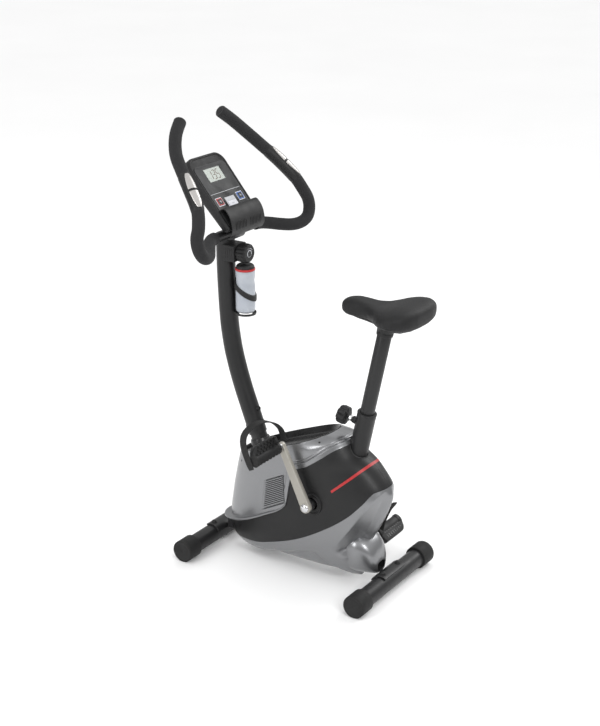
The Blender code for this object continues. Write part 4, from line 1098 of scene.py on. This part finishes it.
def build_cage(centre):
    """Backbone on the post, a foot under the bottle and one slanting band."""
    low, high = node_box("bottle_cage")
    spine = block((-7 * MM, low.y, low.z), (7 * MM, low.y + 3.6 * MM, high.z))
    add_piece("cage_spine", spine, "black", stands_for=["bottle_cage"], bevel=1 * MM)
    foot = [(-6, 18), (-6, 27.6), (-3, 28.6), (0, 28.6), (0, 26.6), (-3.2, 26), (-4, 18)]
    lathe("cage_foot", foot, centre, (0, 0, 1), "black", wrap=True)
    rings = []
    for radius, lift in scaled([(26.4, -8), (29.2, -7), (29.6, -5), (29.6, 5), (29.2, 7), (26.4, 8)]):
        rings.append(circle(72, lambda a: centre + Vector((
            math.cos(a) * radius, math.sin(a) * radius,
            58 * MM - 0.62 * math.sin(a) * radius + 6 * MM * math.cos(a) + lift))))
    add_piece("cage_band", loft(rings, wrap=True), "black", smooth=40)


# ---- handlebar --------------------------------------------------------------------
BAR_POINTS = [(0, -215, 905), (60, -215, 905), (90, -214.5, 905), (113, -209, 904),
              (135, -197, 900), (160, -179, 894), (187, -160, 890), (214, -148, 893),
              (236, -143, 905), (248, -145, 927), (247, -149, 951), (233, -154, 976),
              (214, -171, 1015), (195, -208, 1058), (176, -246, 1094), (155, -280, 1129),
              (122, -305, 1166), (83, -319, 1197)]
BAR_RADIUS = 12.7 * MM
GRIP_RADIUS = 16.5 * MM
GRIP_START_X = 84 * MM
SENSOR_LOW_Z, SENSOR_HIGH_Z = 1008 * MM, 1086 * MM


def bar_half(step=6 * MM):
    """Even points on the left half of the bar, from the clamp to the tip."""
    half = [Vector(p) * MM for p in BAR_POINTS]
    fine = spline([Vector((-half[1].x, half[1].y, half[1].z))] + half + [half[-1]], 12)
    path, owed = [fine[0]], step
    for low, high in zip(fine, fine[1:]):
        span = (high - low).length
        travelled = 0.0
        while span - travelled >= owed:
            travelled += owed
            path.append(low.lerp(high, travelled / span))
            owed = step
        owed -= span - travelled
    return path + [fine[-1]]


def mirror(points, side):
    return [Vector((side * p.x, p.y, p.z)) for p in points]


def tip_radius(gap, reach):
    """Grip's radius this far from its tip, rounded off over reach."""
    return GRIP_RADIUS - 6 * MM * (1 - math.sqrt(1 - max(0, 1 - gap / reach) ** 2))


def build_handlebar():
    path = bar_half()
    whole = mirror(path[:0:-1], -1) + path
    add_piece("bar_tube", sweep(whole, [BAR_RADIUS] * len(whole), 32), "powder", "handlebar",
              ["handlebar_tube"], smooth=50)
    grip = [p for p in path if p.x >= GRIP_START_X or p.z > 950 * MM]
    for side, word in SIDES:
        points = mirror(grip, side)
        tip, start = points[-1], points[-3]
        rounding = [start.lerp(tip, i / 12) for i in range(1, 13)]
        radii = [tip_radius((tip - point).length, 7 * MM) for point in points[:-2]]
        radii += [tip_radius((tip - point).length, 6 * MM) for point in rounding] + [6 * MM]
        end = tip + (tip - points[-2]).normalized() * 0.6 * MM
        add_piece("foam_grip_" + word, sweep(points[:-2] + rounding + [end], radii, 40), "foam",
                  "handlebar", ["grip_" + word], smooth=60)
        build_sensor(side, word, path)


def sensor_radius(share):
    return GRIP_RADIUS + 1.8 * MM * math.sin(math.pi * share) ** 0.35


def build_sensor(side, word, path):
    """Hand sensor: a slim sleeve with two half-lens plates and a band between."""
    part = [p for p in path if SENSOR_LOW_Z < p.z < SENSOR_HIGH_Z and p.y < -150 * MM]
    points = mirror(part, side)
    tangents = tangents_of(points)
    facing = Vector((side * 0.29, 0.62, 0.73))
    count = len(points) - 1
    radii = [sensor_radius(i / count) for i in range(count + 1)]
    add_piece("sensor_sleeve_" + word, sweep(points, radii, 40), "black", "handlebar",
              ["pulse_sensor_" + word], smooth=60)
    plates = []
    for low, high in ((0.06, 0.47), (0.53, 0.94)):
        outer, inner = [], []
        steps = 20
        for i in range(steps + 1):
            share = low + (high - low) * i / steps
            spot = share * count
            k = min(int(spot), count - 1)
            centre = points[k].lerp(points[k + 1], spot - k)
            tangent = tangents[k]
            front = (facing - tangent * facing.dot(tangent)).normalized()
            across = tangent.cross(front)
            reach = sensor_radius(share)
            spread = 40 * math.sqrt(max(0.0, 1 - ((share - 0.5) / 0.47) ** 2)) + 2
            ring, lining = [], []
            for j in range(13):
                a = math.radians(spread * (j / 6 - 1))
                way = front * math.cos(a) + across * math.sin(a)
                edge = 0.9 * MM * math.sqrt(max(0, 1 - (j / 6 - 1) ** 4))
                ring.append(centre + way * (reach + 0.25 * MM + edge))
                lining.append(centre + way * (reach - 0.6 * MM))
            outer.append(ring)
            inner.append(lining)
        plates.append(loft([ring + lining[::-1] for ring, lining in zip(outer, inner)]))
    add_piece("sensor_plates_" + word, merge(*plates), "sensor", "handlebar", smooth=50)


# ---- console -------------------------------------------------------------------------
FACE_ORIGIN = Vector((0, -243 * MM, 1009 * MM))
FACE_UP = Vector((0, -0.646, 0.763)).normalized()
FACE_OUT = Vector((0, 0.763, 0.646)).normalized()
CONSOLE_BACK = [(-104, -23), (-80, -27), (-38, -38), (104, -38), (112, -34)]


def face_point(u, v, depth):
    return FACE_ORIGIN + Vector((u, 0, 0)) + FACE_UP * v + FACE_OUT * depth


def face_box(low, high, start, end):
    outline = [(low[0], low[1]), (high[0], low[1]), (high[0], high[1]), (low[0], high[1])]
    return prism([(u * MM, v * MM) for u, v in outline], face_point, start * MM, end * MM)


# Lowest and highest corners of the display's and the keys' openings, in mm on the face.
DISPLAY_FIELD = ((-33.6, 33.4), (33.6, 71.6))
KEY_FIELDS = [((33, -34), (54, -14)), ((-54, -34), (-33, -14)), ((-17, -44), (17, -31))]


def cut_wells(piece, fields, margin):
    """Cut openings with a margin (mm) round each field out of a piece."""
    for low, high in fields:
        cut(piece, face_box((low[0] - margin, low[1] - margin),
                            (high[0] + margin, high[1] + margin), -8, 4))


def build_console():
    outline = rounded_outline(76 * MM, -104 * MM, 112 * MM, 30 * MM, 10, 8 * MM)

    def ring(shrink, depth, wedge):
        """Outline drawn in by shrink (mm); with a wedge, depth counts from the back."""
        points = []
        for u, v in outline:
            base = blend_curve(v, CONSOLE_BACK) if wedge else 0
            points.append(face_point(u * (1 - shrink / 76), 4 * MM + (v - 4 * MM) * (1 - shrink / 108),
                                     base + depth * MM))
        return points

    rings = [ring(shrink, depth, False) for shrink, depth in (
        (8, -2.2), (6.8, -0.2), (5.2, 0.5), (3, 0.1), (1.2, -1.4), (0.2, -4), (0, -7))]
    rings += [ring(shrink, depth, True) for shrink, depth in (
        (0, 11), (1.2, 6), (4, 2), (8, 0.4), (14, 0))]
    body = add_piece("console_body", loft(rings), "black", stands_for=["console_housing"], smooth=40)
    cut_wells(body, [DISPLAY_FIELD] + KEY_FIELDS, 0.4)
    film = rounded_outline(66 * MM, -97 * MM, 84 * MM, 14 * MM, 8, 5 * MM)
    face = add_piece("console_film", prism(film, face_point, -2.6 * MM, -0.6 * MM), "panel",
                     stands_for=["console_face"], smooth=40, bevel=0.3 * MM)
    cut_wells(face, [DISPLAY_FIELD] + KEY_FIELDS, 0.4)
    build_display()
    build_prints()
    build_keys()
    build_battery_hatch()


SEGMENTS = {
    "top": ((0, 2), (1, 2)), "middle": ((0, 1), (1, 1)), "bottom": ((0, 0), (1, 0)),
    "upper_left": ((0, 1), (0, 2)), "upper_right": ((1, 1), (1, 2)),
    "lower_left": ((0, 0), (0, 1)), "lower_right": ((1, 0), (1, 1)),
}
DIGITS = {
    "1": ("upper_right", "lower_right"),
    "3": ("top", "upper_right", "middle", "lower_right", "bottom"),
    "5": ("top", "upper_left", "middle", "lower_right", "bottom"),
}


def build_display():
    window = face_box(*DISPLAY_FIELD, -5.2, -1.2)
    add_piece("display_window", window, "crystal", stands_for=["display"], bevel=0.3 * MM)
    rim = [face_box(low, high, -2, -0.3) for low, high in (
        ((-34.4, 32.6), (34.4, 33.4)), ((-34.4, 71.6), (34.4, 72.4)),
        ((-34.4, 33.4), (-33.6, 71.6)), ((33.6, 33.4), (34.4, 71.6)))]
    add_piece("display_rim", merge(*rim), "tray")
    strokes = [digit_stroke(22 - 15 * index, 39, SEGMENTS[segment])
               for index, digit in enumerate("135") for segment in DIGITS[digit]]
    add_piece("display_digits", merge(*strokes), "digit")


def digit_stroke(left, bottom, ends):
    """One bar of a digit, with pointed ends, read from the rider's seat."""
    width, tall, thick, slant = 9.5, 13, 1.1, 0.12

    def place(corner):
        v = bottom + corner[1] * tall
        return Vector((left - corner[0] * width - (v - bottom) * slant, v))

    start, end = place(ends[0]), place(ends[1])
    run = (end - start).normalized()
    cross = Vector((-run.y, run.x))
    points = [start + run * 0.7, start + run * 1.8 + cross * thick, end - run * 1.8 + cross * thick,
              end - run * 0.7, end - run * 1.8 - cross * thick, start + run * 1.8 - cross * thick]
    return prism([(p.x * MM, p.y * MM) for p in points], face_point, -1.3 * MM, -1.0 * MM)


def build_prints():
    """Printed line, white fields and the grey key field on the panel."""
    add_piece("panel_line", face_box((-62, -0.6), (62, 0.6), -0.9, -0.45), "silver_ink")
    whites = [face_box(low, high, -0.9, -0.5) for low, high in (
        ((31, -36.5), (56.5, -12)), ((-56.5, -36.5), (-31, -12)), ((-20, -46), (20, -29)))]
    print_piece = add_piece("panel_white", merge(*whites), "white")
    cut_wells(print_piece, KEY_FIELDS, 0.3)
    add_piece("panel_key_field", face_box((-20, -28.6), (20, -17), -0.9, -0.5), "silver_ink")


def build_keys():
    """Corner keys with coloured frames and dark tops, and the centre key."""
    for node, body, finish in (("left_button", "key_left", "red"), ("right_button", "key_right", "blue")):
        u = 43.5 if node == "left_button" else -43.5
        base = face_box((u - 10.5, -34), (u + 10.5, -14), -5, 0.8)
        add_piece(node + "_frame", base, finish, body, [node], bevel=0.5 * MM)
        top = face_box((u - 8, -31.6), (u + 8, -16.4), -2, 1.4)
        add_piece(node + "_top", top, "black", body, bevel=0.5 * MM)
        mark = merge(face_box((u - 4, -24.7), (u + 4, -23.3), 1.2, 1.55),
                     face_box((u - 0.7, -28), (u + 0.7, -20), 1.25, 1.6))
        add_piece(node + "_mark", mark, "silver_ink", body)
    centre = face_box((-17, -44), (17, -31), -5, 1.4)
    add_piece("centre_key", centre, "white", "key_centre", ["centre_button"], bevel=0.7 * MM)
    add_piece("centre_key_mark", face_box((-6, -38.6), (6, -36.4), 1.2, 1.6), "silver_ink",
              "key_centre")


def build_battery_hatch():
    """Hatch on the console's back with grip ridges."""
    plate = face_box((-32, 20), (32, 70), -40.5, -38.4)
    add_piece("hatch_plate", plate, "black", "hatch", ["battery_cover"], bevel=0.6 * MM)
    ridges = [face_box((-12, 60 - 3 * k), (12, 61.4 - 3 * k), -41.2, -40.3) for k in range(5)]
    add_piece("hatch_ridges", merge(*ridges), "black", "hatch", bevel=0.3 * MM)


COVER_SECTION = [(-46, 1), (-47, 10), (-48.5, 17), (-52, 20), (-57, 21.6), (-66, 22), (-74, 21.2),
                 (-82, 19.4), (-90, 16.4), (-97, 12.6), (-103.6, 8.6), (-109, 4.4), (-112.6, 0.4),
                 (-115.4, -4.4), (-117.4, -9.4), (-118.6, -14)]


def build_clamp_cover():
    """Rolled cover over the clamp with embossed slats along its lower front."""
    points = scaled(COVER_SECTION)
    lining = []
    for i, point in enumerate(points):
        before, after = points[max(i - 1, 0)], points[min(i + 1, len(points) - 1)]
        run = Vector((after[0] - before[0], after[1] - before[1])).normalized()
        lining.append((point[0] - run.y * 2.6 * MM, point[1] + run.x * 2.6 * MM))
    half = 72 * MM
    rings = [[face_point(x, p[0], p[1]) for x, p in
              ((-half, outer), (half, outer), (half, inner), (-half, inner))]
             for outer, inner in zip(points, lining)]
    add_piece("rolled_cover", loft(rings), "black", stands_for=["clamp_cover"], smooth=30,
              bevel=0.7 * MM)
    slats = [cover_rib(points, start + k * 6.4, 3.0, 8, 12) for start in (-58, 6) for k in range(8)]
    add_piece("cover_slats", merge(*slats), "shell", bevel=0.3 * MM)


def cover_rib(points, u, width, first, last):
    """Raised rib across the rolled cover at one place along the bar."""
    rings = []
    for i in range(first, last + 1):
        before, after = points[i - 1], points[i + 1]
        run = Vector((after[0] - before[0], after[1] - before[1])).normalized()
        lift = (0.9 if first < i < last else 0.1) * MM
        start = (u + (i - first) * 0.5) * MM
        high = (points[i][0] + run.y * lift, points[i][1] - run.x * lift)
        low = (points[i][0] - run.y * 0.4 * MM, points[i][1] + run.x * 0.4 * MM)
        rings.append([face_point(start, *low), face_point(start, *high),
                      face_point(start + width * MM, *high), face_point(start + width * MM, *low)])
    return loft(rings)


# ---- seat --------------------------------------------------------------------------
def on_seat_line(z):
    """Point at height z on the seat tube's middle line."""
    return SEAT_REF + SEAT_AXIS * ((z - SEAT_REF.z) / SEAT_AXIS.z)


def build_seat_tubes():
    foot, mouth = on_seat_line(88 * MM), on_seat_line(484 * MM)
    length = (mouth - foot).length / MM
    tube = [(-length, 23), (-length, 25), (-12, 25), (-11, 25.2), (-1, 25.2), (0, 24.6), (0, 23)]
    lathe("seat_tube_outer", tube, mouth, SEAT_AXIS, "powder", stands_for=["seat_tube"], smooth=50,
          sides=64, wrap=True)
    rim = [(0.2, 19.4), (0.2, 25.4), (1, 26), (2.6, 25.8), (4, 24.2), (4.4, 22), (3.8, 19.4)]
    lathe("seat_bush_rim", rim, mouth, SEAT_AXIS, "black", smooth=50, sides=64, wrap=True)
    boss_at, pull = pin_line()
    boss = [(23.4, 5), (23.4, 11), (27, 10), (34, 9.4), (36, 8.6), (36, 5)]
    lathe("pin_boss", boss, boss_at, pull, "powder", sides=40, wrap=True)
    build_seat_post()
    build_pin()


def pin_line():
    """Where the pull pin crosses the seat tube's middle line, and its direction."""
    return on_seat_line(452 * MM), Vector(JOINTS["pin_pull"]["axis"]).normalized()


def build_seat_post():
    """Sliding post with its row of pin holes."""
    start, end = [(z - SEAT_REF.z) / SEAT_AXIS.z for z in (300 * MM, SEAT_POST_TOP)]
    profile = [(start, 17.2 * MM), (start, 18.4 * MM), (start + MM, 19 * MM), (end - MM, 19 * MM),
               (end, 18.4 * MM), (end, 17.2 * MM)]
    post = add_piece("post_slider", turn(profile, SEAT_REF, SEAT_AXIS, 64, wrap=True), "powder",
                     "seat", ["seat_post"], smooth=50)
    origin, pull = pin_line()
    for step in range(-3, 5):
        hole = turn([(10 * MM, 4.8 * MM), (30 * MM, 4.8 * MM)],
                    origin + SEAT_AXIS * (step * HOLE_PITCH), pull, 24)
        cut(post, hole)


def build_pin():
    """Fluted knob on a chrome shaft."""
    origin, pull = pin_line()
    knob = [(50, 12, 0), (51, 14, 0), (52, 20, 2), (53.6, 23.4, 3.6), (56, 25, 4.4), (71, 25, 4.4),
            (74, 24.2, 4), (76.6, 22, 3), (78, 18.6, 1.6), (78, 12, 0), (77, 10, 0), (77, 1, 0)]
    lathe("pin_knob", knob, origin, pull, "black", "pin", ["seat_pin"], sides=96, lobes=8)
    shaft = [(19.8, 2), (20.4, 4), (50, 4), (50, 3)]
    collar = [(38, 3.5), (38, 7), (40, 7.6), (44, 7.6), (45, 6.6), (45, 3.5)]
    add_piece("pin_shaft", merge(turn(scaled(shaft), origin, pull, 32),
                                 turn(scaled(collar), origin, pull, 6)), "chrome", "pin", smooth=40)


SEAT_POST_TOP = 728 * MM
HOLE_PITCH = 30 * MM
CUSHION_VOXEL = 5 * MM
CUSHION_PRESSURE = 3.0
CUSHION_FRAMES = 12
CUSHION_REACH = 4 * MM
CUSHION_RISE = 2 * MM
CUSHION_FLOOR = 744.9 * MM
# Station, half width, top and bottom of the cushion before it is blown up.
SADDLE_SECTIONS = [(123, 14, 778, 757), (128, 22, 785, 751), (140, 28, 790, 747),
                   (165, 33, 791, 745), (190, 37, 788, 745), (212, 44, 785, 745),
                   (235, 61, 784, 745), (255, 82, 788, 745), (275, 98, 794, 745),
                   (300, 107, 800, 745), (322, 105, 803, 745), (340, 92, 801, 746),
                   (352, 68, 795, 750), (358, 38, 788, 756)]


def saddle_ring(y, half, low, high, count=40):
    """Section with a flat underside, full flanks and a crown that dips in the middle."""
    ring = []
    middle = low + (high - low) * 0.45
    for i in range(count):
        angle = 2 * math.pi * (i + 0.5) / count
        c, s = math.cos(angle), math.sin(angle)
        x = math.copysign(abs(c) ** 0.62, c) * half
        if s > 0:
            z = middle + abs(s) ** 0.75 * (high - middle)
            z -= 3.5 * (1 - min(1, abs(x) / (0.35 * half))) ** 2 * smoothstep((y - 150) / 80)
        else:
            x *= 1 - 0.12 * abs(s)
            z = middle - abs(s) ** 0.6 * (middle - low)
        ring.append(Vector((x, y, z)) * MM)
    return ring


def build_saddle():
    sections = [saddle_ring(y, half, low, high) for y, half, high, low in SADDLE_SECTIONS]
    thing = add_piece("saddle_cushion", loft(sections), "saddle", "seat", ["saddle"], smooth=180)
    puff(thing)
    pan = [saddle_ring(y, half, 739 + rise, 753 + rise, 32) for y, half, rise in (
        (152, 12, 3), (175, 19, 1), (205, 26, 0), (235, 38, 0), (265, 60, 0), (300, 74, 0),
        (322, 66, 0), (334, 44, 1))]
    add_piece("saddle_base", loft(pan), "black", "seat", ["saddle_pan"], smooth=50)
    collar = [(-22, 19.4), (-22, 21), (-21.4, 21.6), (-12, 22), (-11, 21.4), (-10, 22.2), (6, 24),
              (6, 19.4)]
    lathe("saddle_collar", collar, on_seat_line(SEAT_POST_TOP), SEAT_AXIS, "black", "seat",
          sides=56, wrap=True)


def puff(thing):
    """Blow the cushion up a little as cloth over foam, and round it off."""
    remesh = thing.modifiers.new("remesh", "REMESH")
    remesh.mode = "VOXEL"
    remesh.voxel_size = CUSHION_VOXEL
    bake(thing)
    rest_points = [vert.co.copy() for vert in thing.data.vertices]
    cloth = thing.modifiers.new("cloth", "CLOTH")
    cloth.settings.quality = 5
    cloth.settings.use_pressure = True
    cloth.settings.uniform_pressure_force = CUSHION_PRESSURE
    cloth.settings.effector_weights.gravity = 0
    cloth.point_cache.frame_start = 1
    cloth.point_cache.frame_end = CUSHION_FRAMES
    scene = bpy.context.scene
    for number in range(1, CUSHION_FRAMES + 1):
        scene.frame_set(number)
    bake(thing)
    scene.frame_set(1)
    for vert, start in zip(thing.data.vertices, rest_points):
        moved = vert.co - start
        if moved.length > CUSHION_REACH:
            vert.co = start + moved.normalized() * CUSHION_REACH
        vert.co.z = min(vert.co.z, start.z + CUSHION_RISE)
        vert.co.z = max(vert.co.z, CUSHION_FLOOR)
    smooth = thing.modifiers.new("smooth", "SMOOTH")
    smooth.factor = 0.5
    smooth.iterations = 6
    bake(thing)
    thing.modifiers.new("subdivision", "SUBSURF").levels = 1
    thing.modifiers["subdivision"].render_levels = 1
    thing.data.shade_smooth()


def bake(thing):
    """Apply the piece's modifiers to its mesh."""
    made = evaluated_mesh(thing)
    thing.modifiers.clear()
    thing.data = made
    made.shade_smooth()
    if not made.materials:
        made.materials.append(FINISH["saddle"])


# ---- cranks and pedals -----------------------------------------------------------
def build_cranks():
    for side, word in SIDES:
        eye = joint_point("pedal_%s_spin" % word)
        centre = Vector((0, CRANK.y, CRANK.z))
        run = Vector((0, eye.y - centre.y, eye.z - centre.z))
        length = run.length
        along, across = run.normalized(), Vector((0, -run.z, run.y)).normalized()

        def place(u, v, depth):
            return centre + along * u + across * v + Vector((depth, 0, 0))

        big, small = 14.5 * MM, 9.5 * MM
        lead = math.degrees(math.acos((big - small) / length))
        outline = arc((0, 0), big, lead, 360 - lead, 40) + arc((length, 0), small, -lead, lead, 24)
        rings = []
        for inset, x in scaled([(1.6, 107), (0.4, 107.5), (0, 108.6), (0, 117.6), (0.6, 119),
                                (1.8, 119.8), (3, 120)]):
            rings.append([place(*shrunk(u, v, length, inset), side * x) for u, v in outline])
        add_piece("crank_" + word, loft(rings), "crank", "crank", ["crank_arm_" + word], smooth=50)
        lathe("crank_boss_" + word, [(90, 10), (90, 13.6), (91, 14.2), (108, 14.2), (108, 10)],
              centre, (1, 0, 0), "steel", "crank", side=side, wrap=True)
        lathe("crank_ring_" + word, [(119, 11.8), (119.8, 13.6), (121, 13.8), (121.8, 13.2),
                                     (121.6, 12.2)],
              centre, (1, 0, 0), "crank", "crank", side=side, smooth=50, sides=64, wrap=True)
        lathe("crank_dome_" + word, [(118.5, 11.6), (121, 11.9), (122.6, 11.3), (124.2, 9.6),
                                     (125.6, 7), (126.4, 4), (126.7, 1)],
              centre, (1, 0, 0), "chrome", "crank", side=side, smooth=60, sides=64)
        lathe("pedal_spindle_" + word, [(119.5, 8), (124, 8), (124.6, 6.8), (226, 6.4), (227, 5.4),
                                        (227.6, 1)],
              Vector((0, eye.y, eye.z)), (1, 0, 0), "steel", "crank", side=side, sides=32)


def shrunk(u, v, length, inset):
    """Draw a point of the crank's outline in towards the arm's middle line."""
    spine = max(0, min(length, u))
    away = Vector((u - spine, v))
    scale = max(0, away.length - inset) / away.length
    return spine + away.x * scale, away.y * scale


PEDAL_IN, PEDAL_OUT = 128 * MM, 238 * MM
PEDAL_FRONT = -34 * MM
PEDAL_TILT = {"left": math.radians(-64), "right": math.radians(140)}
STRAP_HALF_WIDTH, STRAP_THICKNESS = 9.5 * MM, 2.8 * MM
# Middle line of each strap in its pedal's own frame (mm): across, back, up.
STRAP_PATH = {
    "left": [(241, 19, -15), (241, -8, -14.5), (241, -32, -13), (239, -52, -10), (234, -68, -4),
             (224, -79, 5), (208, -85, 15), (190, -86, 23), (170, -80, 30), (151, -68, 34),
             (137, -51, 35), (129.5, -36, 31), (126.3, -22, 26), (126, -13, 22)],
    "right": [(126, 4, -19), (126.5, 9, -28), (129, 15, -39), (137, 22, -52),
              (150, 29, -65), (165, 32, -72), (180, 34, -76)],
}


def build_pedals():
    for side, word in SIDES:
        eye = joint_point("pedal_%s_spin" % word)
        spin = Matrix.Translation(eye) @ Matrix.Rotation(PEDAL_TILT[word], 4, "X")

        def add(name, bm, finish, stands_for=(), **shading):
            bmesh.ops.transform(bm, matrix=spin, verts=bm.verts)
            return add_piece(name + "_" + word, bm, finish, word + "_pedal", stands_for, **shading)

        add("pedal_plate", pedal_plate(side), "black", ["pedal_" + word], smooth=40)
        add("pedal_barrel", pedal_barrel(side), "black", smooth=40)
        add("pedal_cap", pedal_cap(side), "rubber", smooth=40)
        add("pedal_tread", pedal_tread(side), "rubber", bevel=0.5 * MM)
        add("pedal_slots", pedal_slots(side), "tray", smooth=30)
        add("toe_strap", strap(side, STRAP_PATH[word]), "rubber", ["strap_" + word], smooth=40,
            bevel=0.5 * MM)
        add("strap_studs", strap_studs(side, STRAP_PATH[word]), "rubber", bevel=0.3 * MM)


def pedal_outline():
    """Plate in front of the barrel, with a large round at its outer corner."""
    outline = [(PEDAL_OUT, 4 * MM), (PEDAL_IN, 4 * MM)]
    outline += arc((PEDAL_IN + 8 * MM, PEDAL_FRONT + 8 * MM), 8 * MM, 180, 270, 10)
    outline += arc((PEDAL_OUT - 28 * MM, PEDAL_FRONT + 28 * MM), 28 * MM, 270, 360, 24)
    return outline


def pedal_plate(side):
    outline = pedal_outline()
    middle = Vector(((PEDAL_IN + PEDAL_OUT) / 2, -8 * MM))
    rings = []
    for inset, z in ((3, -8), (1, -7.6), (0, -6.4), (0, 5.6), (0.8, 7.2), (2.6, 8)):
        ring = []
        for u, v in outline:
            away = Vector((u, v)) - middle
            point = middle + away * (1 - inset * MM / away.length)
            ring.append(Vector((side * point.x, point.y, z * MM)))
        rings.append(ring)
    return loft(rings)


def oval(side, stations, deep, tall):
    """Oval bar through stations of place across and shrink (mm)."""
    return loft([circle(48, lambda a: Vector((side * x, math.cos(a) * (deep - shrink),
                                              math.sin(a) * (tall - shrink))))
                 for x, shrink in scaled(stations)])


def pedal_barrel(side):
    """Oval barrel round the spindle, with a waist near either end."""
    stations = [(128, 3), (128.6, 1), (130, 0), (137, 0), (138, 1.4), (226, 1.4), (227, 0), (232, 0)]
    return oval(side, stations, 16.6 * MM, 11 * MM)


def pedal_cap(side):
    """Oval end cap with a shallow dish and a raised rim."""
    stations = [(232, 0.4), (237, 0.2), (238.6, 0.8), (239.3, 2), (239.3, 3.4), (238.5, 4.2),
                (238.5, 8)]
    return oval(side, stations, 17 * MM, 11.4 * MM)


def pedal_tread(side):
    """Rows of rubber studs in front of the barrel and ribs along it."""
    studs = []
    for row, v in enumerate((-29, -21, -13)):
        for k in range(7):
            u = 139 + 14 * k + (row % 2) * 5
            if u > 226 - (8 if row == 0 else 0):
                continue
            studs.append(block((side * u * MM - 4 * MM, (v - 2.4) * MM, 7 * MM),
                               (side * u * MM + 4 * MM, (v + 2.4) * MM, 11.4 * MM)))
    for k in range(6):
        u = 150 + 14 * k
        studs.append(block((side * u * MM - 3 * MM, 10 * MM, 2 * MM),
                           (side * u * MM + 3 * MM, 15.4 * MM, 6.6 * MM)))
    return merge(*studs)


def pedal_slots(side):
    """Short dark slots in even rows across the underside."""
    slots = []
    for k in range(9):
        along = (146 + 10 * k) * MM
        for low, high in ((-27 + 0.1 * k * k, -17), (-11, 3)):
            start = Vector((side * along - 1.3 * MM, low * MM, -8.5 * MM))
            slots.append(block(start, Vector((start.x + 2.6 * MM, high * MM, -7.4 * MM))))
    return merge(*slots)


def smooth_path(points, share=4):
    """Finer path through points."""
    points = [Vector(point) for point in points]
    return spline([points[0] * 2 - points[1]] + points + [points[-1] * 2 - points[-2]], share)


def strap_frames(side, path):
    """Places along the strap with the directions of its width and thickness."""
    points = [Vector((side * p.x, p.y, p.z)) * MM for p in smooth_path(path)]
    tilt = PEDAL_TILT["left"]
    upright = Vector((0, math.cos(tilt), -math.sin(tilt)))
    frames = []
    for point, along in zip(points, tangents_of(points)):
        wide = (upright - along * upright.dot(along)).normalized()
        frames.append((point, wide, along.cross(wide).normalized()))
    return frames


def strap(side, path):
    """Moulded band with a rounded tip at its free end."""
    frames = strap_frames(side, path)
    rings = []
    for i, (point, wide, thick) in enumerate(frames):
        tip = i if path is STRAP_PATH["left"] else len(frames) - 1 - i
        half = STRAP_HALF_WIDTH * (0.72, 0.9, 0.98, 1)[min(tip, 3)]
        across, through = wide * half, thick * STRAP_THICKNESS / 2
        rings.append([point + across + through, point - across + through,
                      point - across - through, point + across - through])
    return loft(rings)


def strap_studs(side, path):
    """Eyelets along the strap's free end and a buckle plate where it is fixed."""
    frames = strap_frames(side, path)
    if path is not STRAP_PATH["left"]:
        frames = frames[::-1]
    parts = []
    for i in (2, 5, 8, 11):
        point, _, thick = frames[i]
        for way in (1, -1):
            ring = scaled([(1.0, 4.2), (1.8, 4.0), (2.0, 3.0), (1.6, 2.4), (1.0, 2.4)])
            parts.append(turn(ring, point, thick * way, 20, wrap=True))
    point, wide, thick = frames[-3]
    along = wide.cross(thick)
    plate = [point + wide * a + along * b for a, b in
             scaled([(8.6, 5), (-8.6, 5), (-8.6, -5), (8.6, -5)])]
    parts.append(loft([[p + thick * c for p in plate] for c in (-0.7 * MM, 0.7 * MM)]))
    return merge(*parts)


# ---- CAD nodes that stay ------------------------------------------------------------
KEPT = {
    "powder": ["frame_spine", "post_socket", "bottom_bracket", "handlebar_clamp"],
    "black": ["seat_liner", "drive_pulley"],
    "steel": ["crank_axle", "flywheel_shaft"],
    "iron": ["flywheel", "magnet_arm"],
    "rubber": ["drive_belt"],
}


def finish_kept_nodes():
    for finish, names in KEPT.items():
        for name in names:
            mesh = NODES[name].data
            mesh.materials.clear()
            mesh.materials.append(FINISH[finish])


build_camera()
build_studio()
finish_kept_nodes()
build_housing()
build_base()
build_post()
build_tension_control()
build_bottle()
build_handlebar()
build_console()
build_clamp_cover()
build_seat_tubes()
build_saddle()
build_cranks()
build_pedals()
